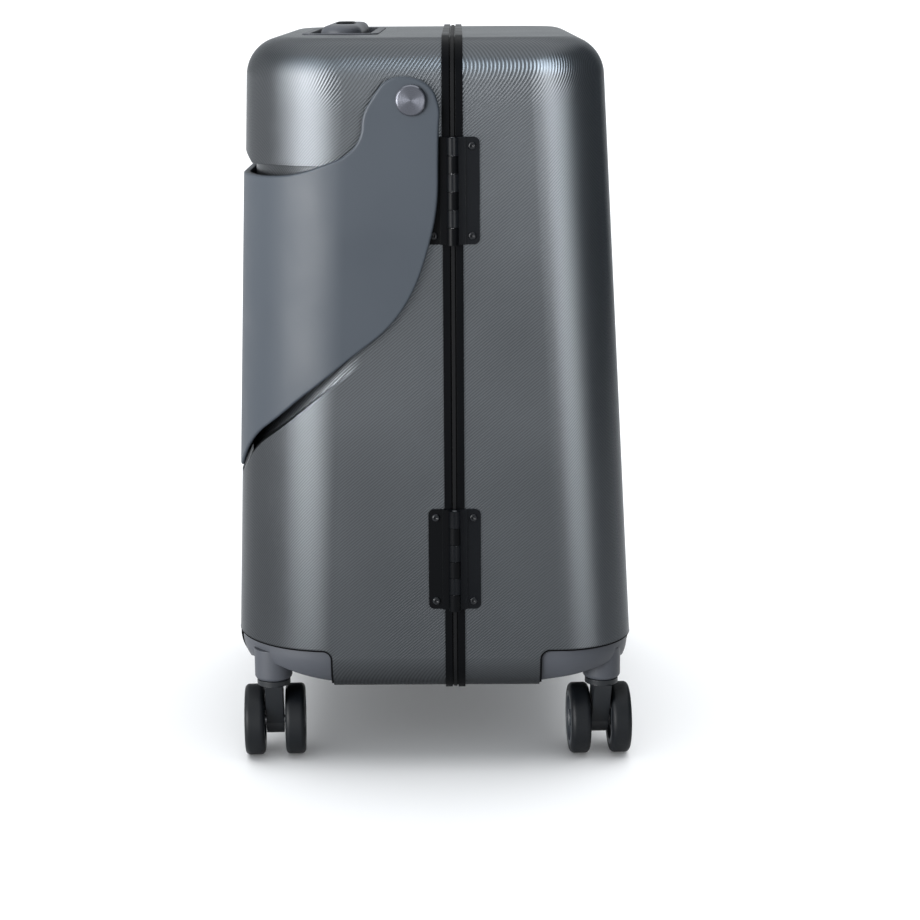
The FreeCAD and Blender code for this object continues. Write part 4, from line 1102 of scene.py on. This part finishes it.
# The high panels are cooler than the low ones
PLAIN_TINT = (1, 1, 1)
UPPER_TINT = (0.86, 0.98, 1.08)
LEFT_BEARING = math.radians(-44)
RIGHT_BEARING = math.radians(28)
FILL_BEARING = math.radians(-105)
lit_pieces = bpy.data.collections.new("lit_from_the_left")
lit_shells = bpy.data.collections.new("lit_from_the_right")
for piece in list(scene.objects):
    if piece.type == "MESH":
        lit_pieces.objects.link(piece)
for node in ("front_shell", "rear_shell", "hinge_pins", "upper_hinge_rear_leaf", "lower_hinge_rear_leaf"):
    lit_shells.objects.link(nodes[node])


def stage_card(name, corners, finish):
    mesh = bpy.data.meshes.new(name)
    mesh.from_pydata(corners, [], [(0, 1, 2, 3)])
    mesh.materials.append(finish.material)
    card = bpy.data.objects.new(name, mesh)
    scene.collection.objects.link(card)
    return card


def make_floor():
    corners = [(x * FLOOR_HALF, y * FLOOR_HALF, 0) for x, y in ((-1, -1), (1, -1), (1, 1), (-1, 1))]
    finish = Finish("studio_floor", FLOOR_COLOUR, FLOOR_ROUGHNESS, Emission_Color=WHITE,
                    Emission_Strength=FLOOR_GLOW)
    finish.tint(finish.noise(FLOOR_CLOUD, detail=3.0), shade(FLOOR_COLOUR, FLOOR_DARK_SHARE), FLOOR_COLOUR)
    stage_card("studio_floor", corners, finish)


def dark_flag(name, corners):
    # A dark card outside the picture, seen only in gloss, that keeps the far edges of the case from glaring
    card = stage_card(name, corners, Finish(name, FLAG_COLOUR, roughness=0.9, Specular_IOR_Level=0.0))
    card.visible_camera = False
    card.visible_diffuse = False
    card.visible_shadow = False


def softbox(name, bearing, distance, size, low, radiance, receivers, aim=None, tint=PLAIN_TINT):
    # Bearings are from the camera's side, positive to the right. A panel faces level, or down to its aim
    data = bpy.data.lights.new(name, "AREA")
    data.shape = "RECTANGLE"
    data.size, data.size_y = size
    half = SOFTBOX_SPREAD / 2
    data.energy = radiance * math.pi * size[0] * size[1] * (1 - half / math.tan(half))
    data.spread = SOFTBOX_SPREAD
    data.color = tint
    lamp = bpy.data.objects.new(name, data)
    spot = Vector((math.sin(bearing), -math.cos(bearing), 0)) * distance
    middle = low + size[1] / 2
    lamp.location = spot + Vector((0, 0, middle))
    drop = 0.0 if aim is None else aim - middle
    lamp.rotation_euler = (Vector((0, 0, drop)) - spot).to_track_quat("-Z", "Y").to_euler()
    lamp.visible_camera = False
    lamp.light_linking.receiver_collection = receivers
    scene.collection.objects.link(lamp)


def overhead_light(strength, width, tilt):
    # One even light over the whole floor, from above and a little behind the case
    data = bpy.data.lights.new("overhead", "SUN")
    data.energy = strength
    data.angle = width
    lamp = bpy.data.objects.new("overhead", data)
    lamp.rotation_euler = (-tilt, 0, 0)
    scene.collection.objects.link(lamp)


def make_light():
    world = bpy.data.worlds.new("studio_world")
    world.use_nodes = True
    tree = world.node_tree
    background = tree.nodes["Background"]
    background.inputs["Color"].default_value = WORLD_COLOUR
    background.inputs["Strength"].default_value = WORLD_STRENGTH
    backdrop = tree.nodes.new("ShaderNodeBackground")
    backdrop.inputs["Color"].default_value = WHITE
    chooser = tree.nodes.new("ShaderNodeMixShader")
    tree.links.new(tree.nodes.new("ShaderNodeLightPath").outputs["Is Camera Ray"], chooser.inputs["Fac"])
    tree.links.new(background.outputs[0], chooser.inputs[1])
    tree.links.new(backdrop.outputs[0], chooser.inputs[2])
    tree.links.new(chooser.outputs[0], tree.nodes["World Output"].inputs["Surface"])
    scene.world = world
    softbox("left_softbox", LEFT_BEARING, distance=1.6, size=(1.3, 2.1), low=0.05, radiance=29.0,
            receivers=lit_pieces)
    softbox("left_upper", LEFT_BEARING, distance=1.5, size=(1.3, 1.1), low=0.85, radiance=8.0,
            receivers=lit_shells, aim=CASE_AIM, tint=UPPER_TINT)
    softbox("right_softbox", RIGHT_BEARING, distance=1.7, size=(0.98, 2.1), low=0.02, radiance=18.0,
            receivers=lit_shells)
    softbox("right_upper", RIGHT_BEARING, distance=1.6, size=(0.98, 1.1), low=0.85, radiance=24.0,
            receivers=lit_shells, aim=CASE_AIM, tint=UPPER_TINT)
    softbox("left_fill", FILL_BEARING, distance=1.8, size=(1.6, 1.6), low=0.05, radiance=1.0,
            receivers=lit_pieces)
    overhead_light(strength=2.3, width=math.radians(80), tilt=math.radians(9))
    dark_flag("right_flag", FLAG_CORNERS)
    scene.view_settings.view_transform = "Standard"


make_floor()
make_light()
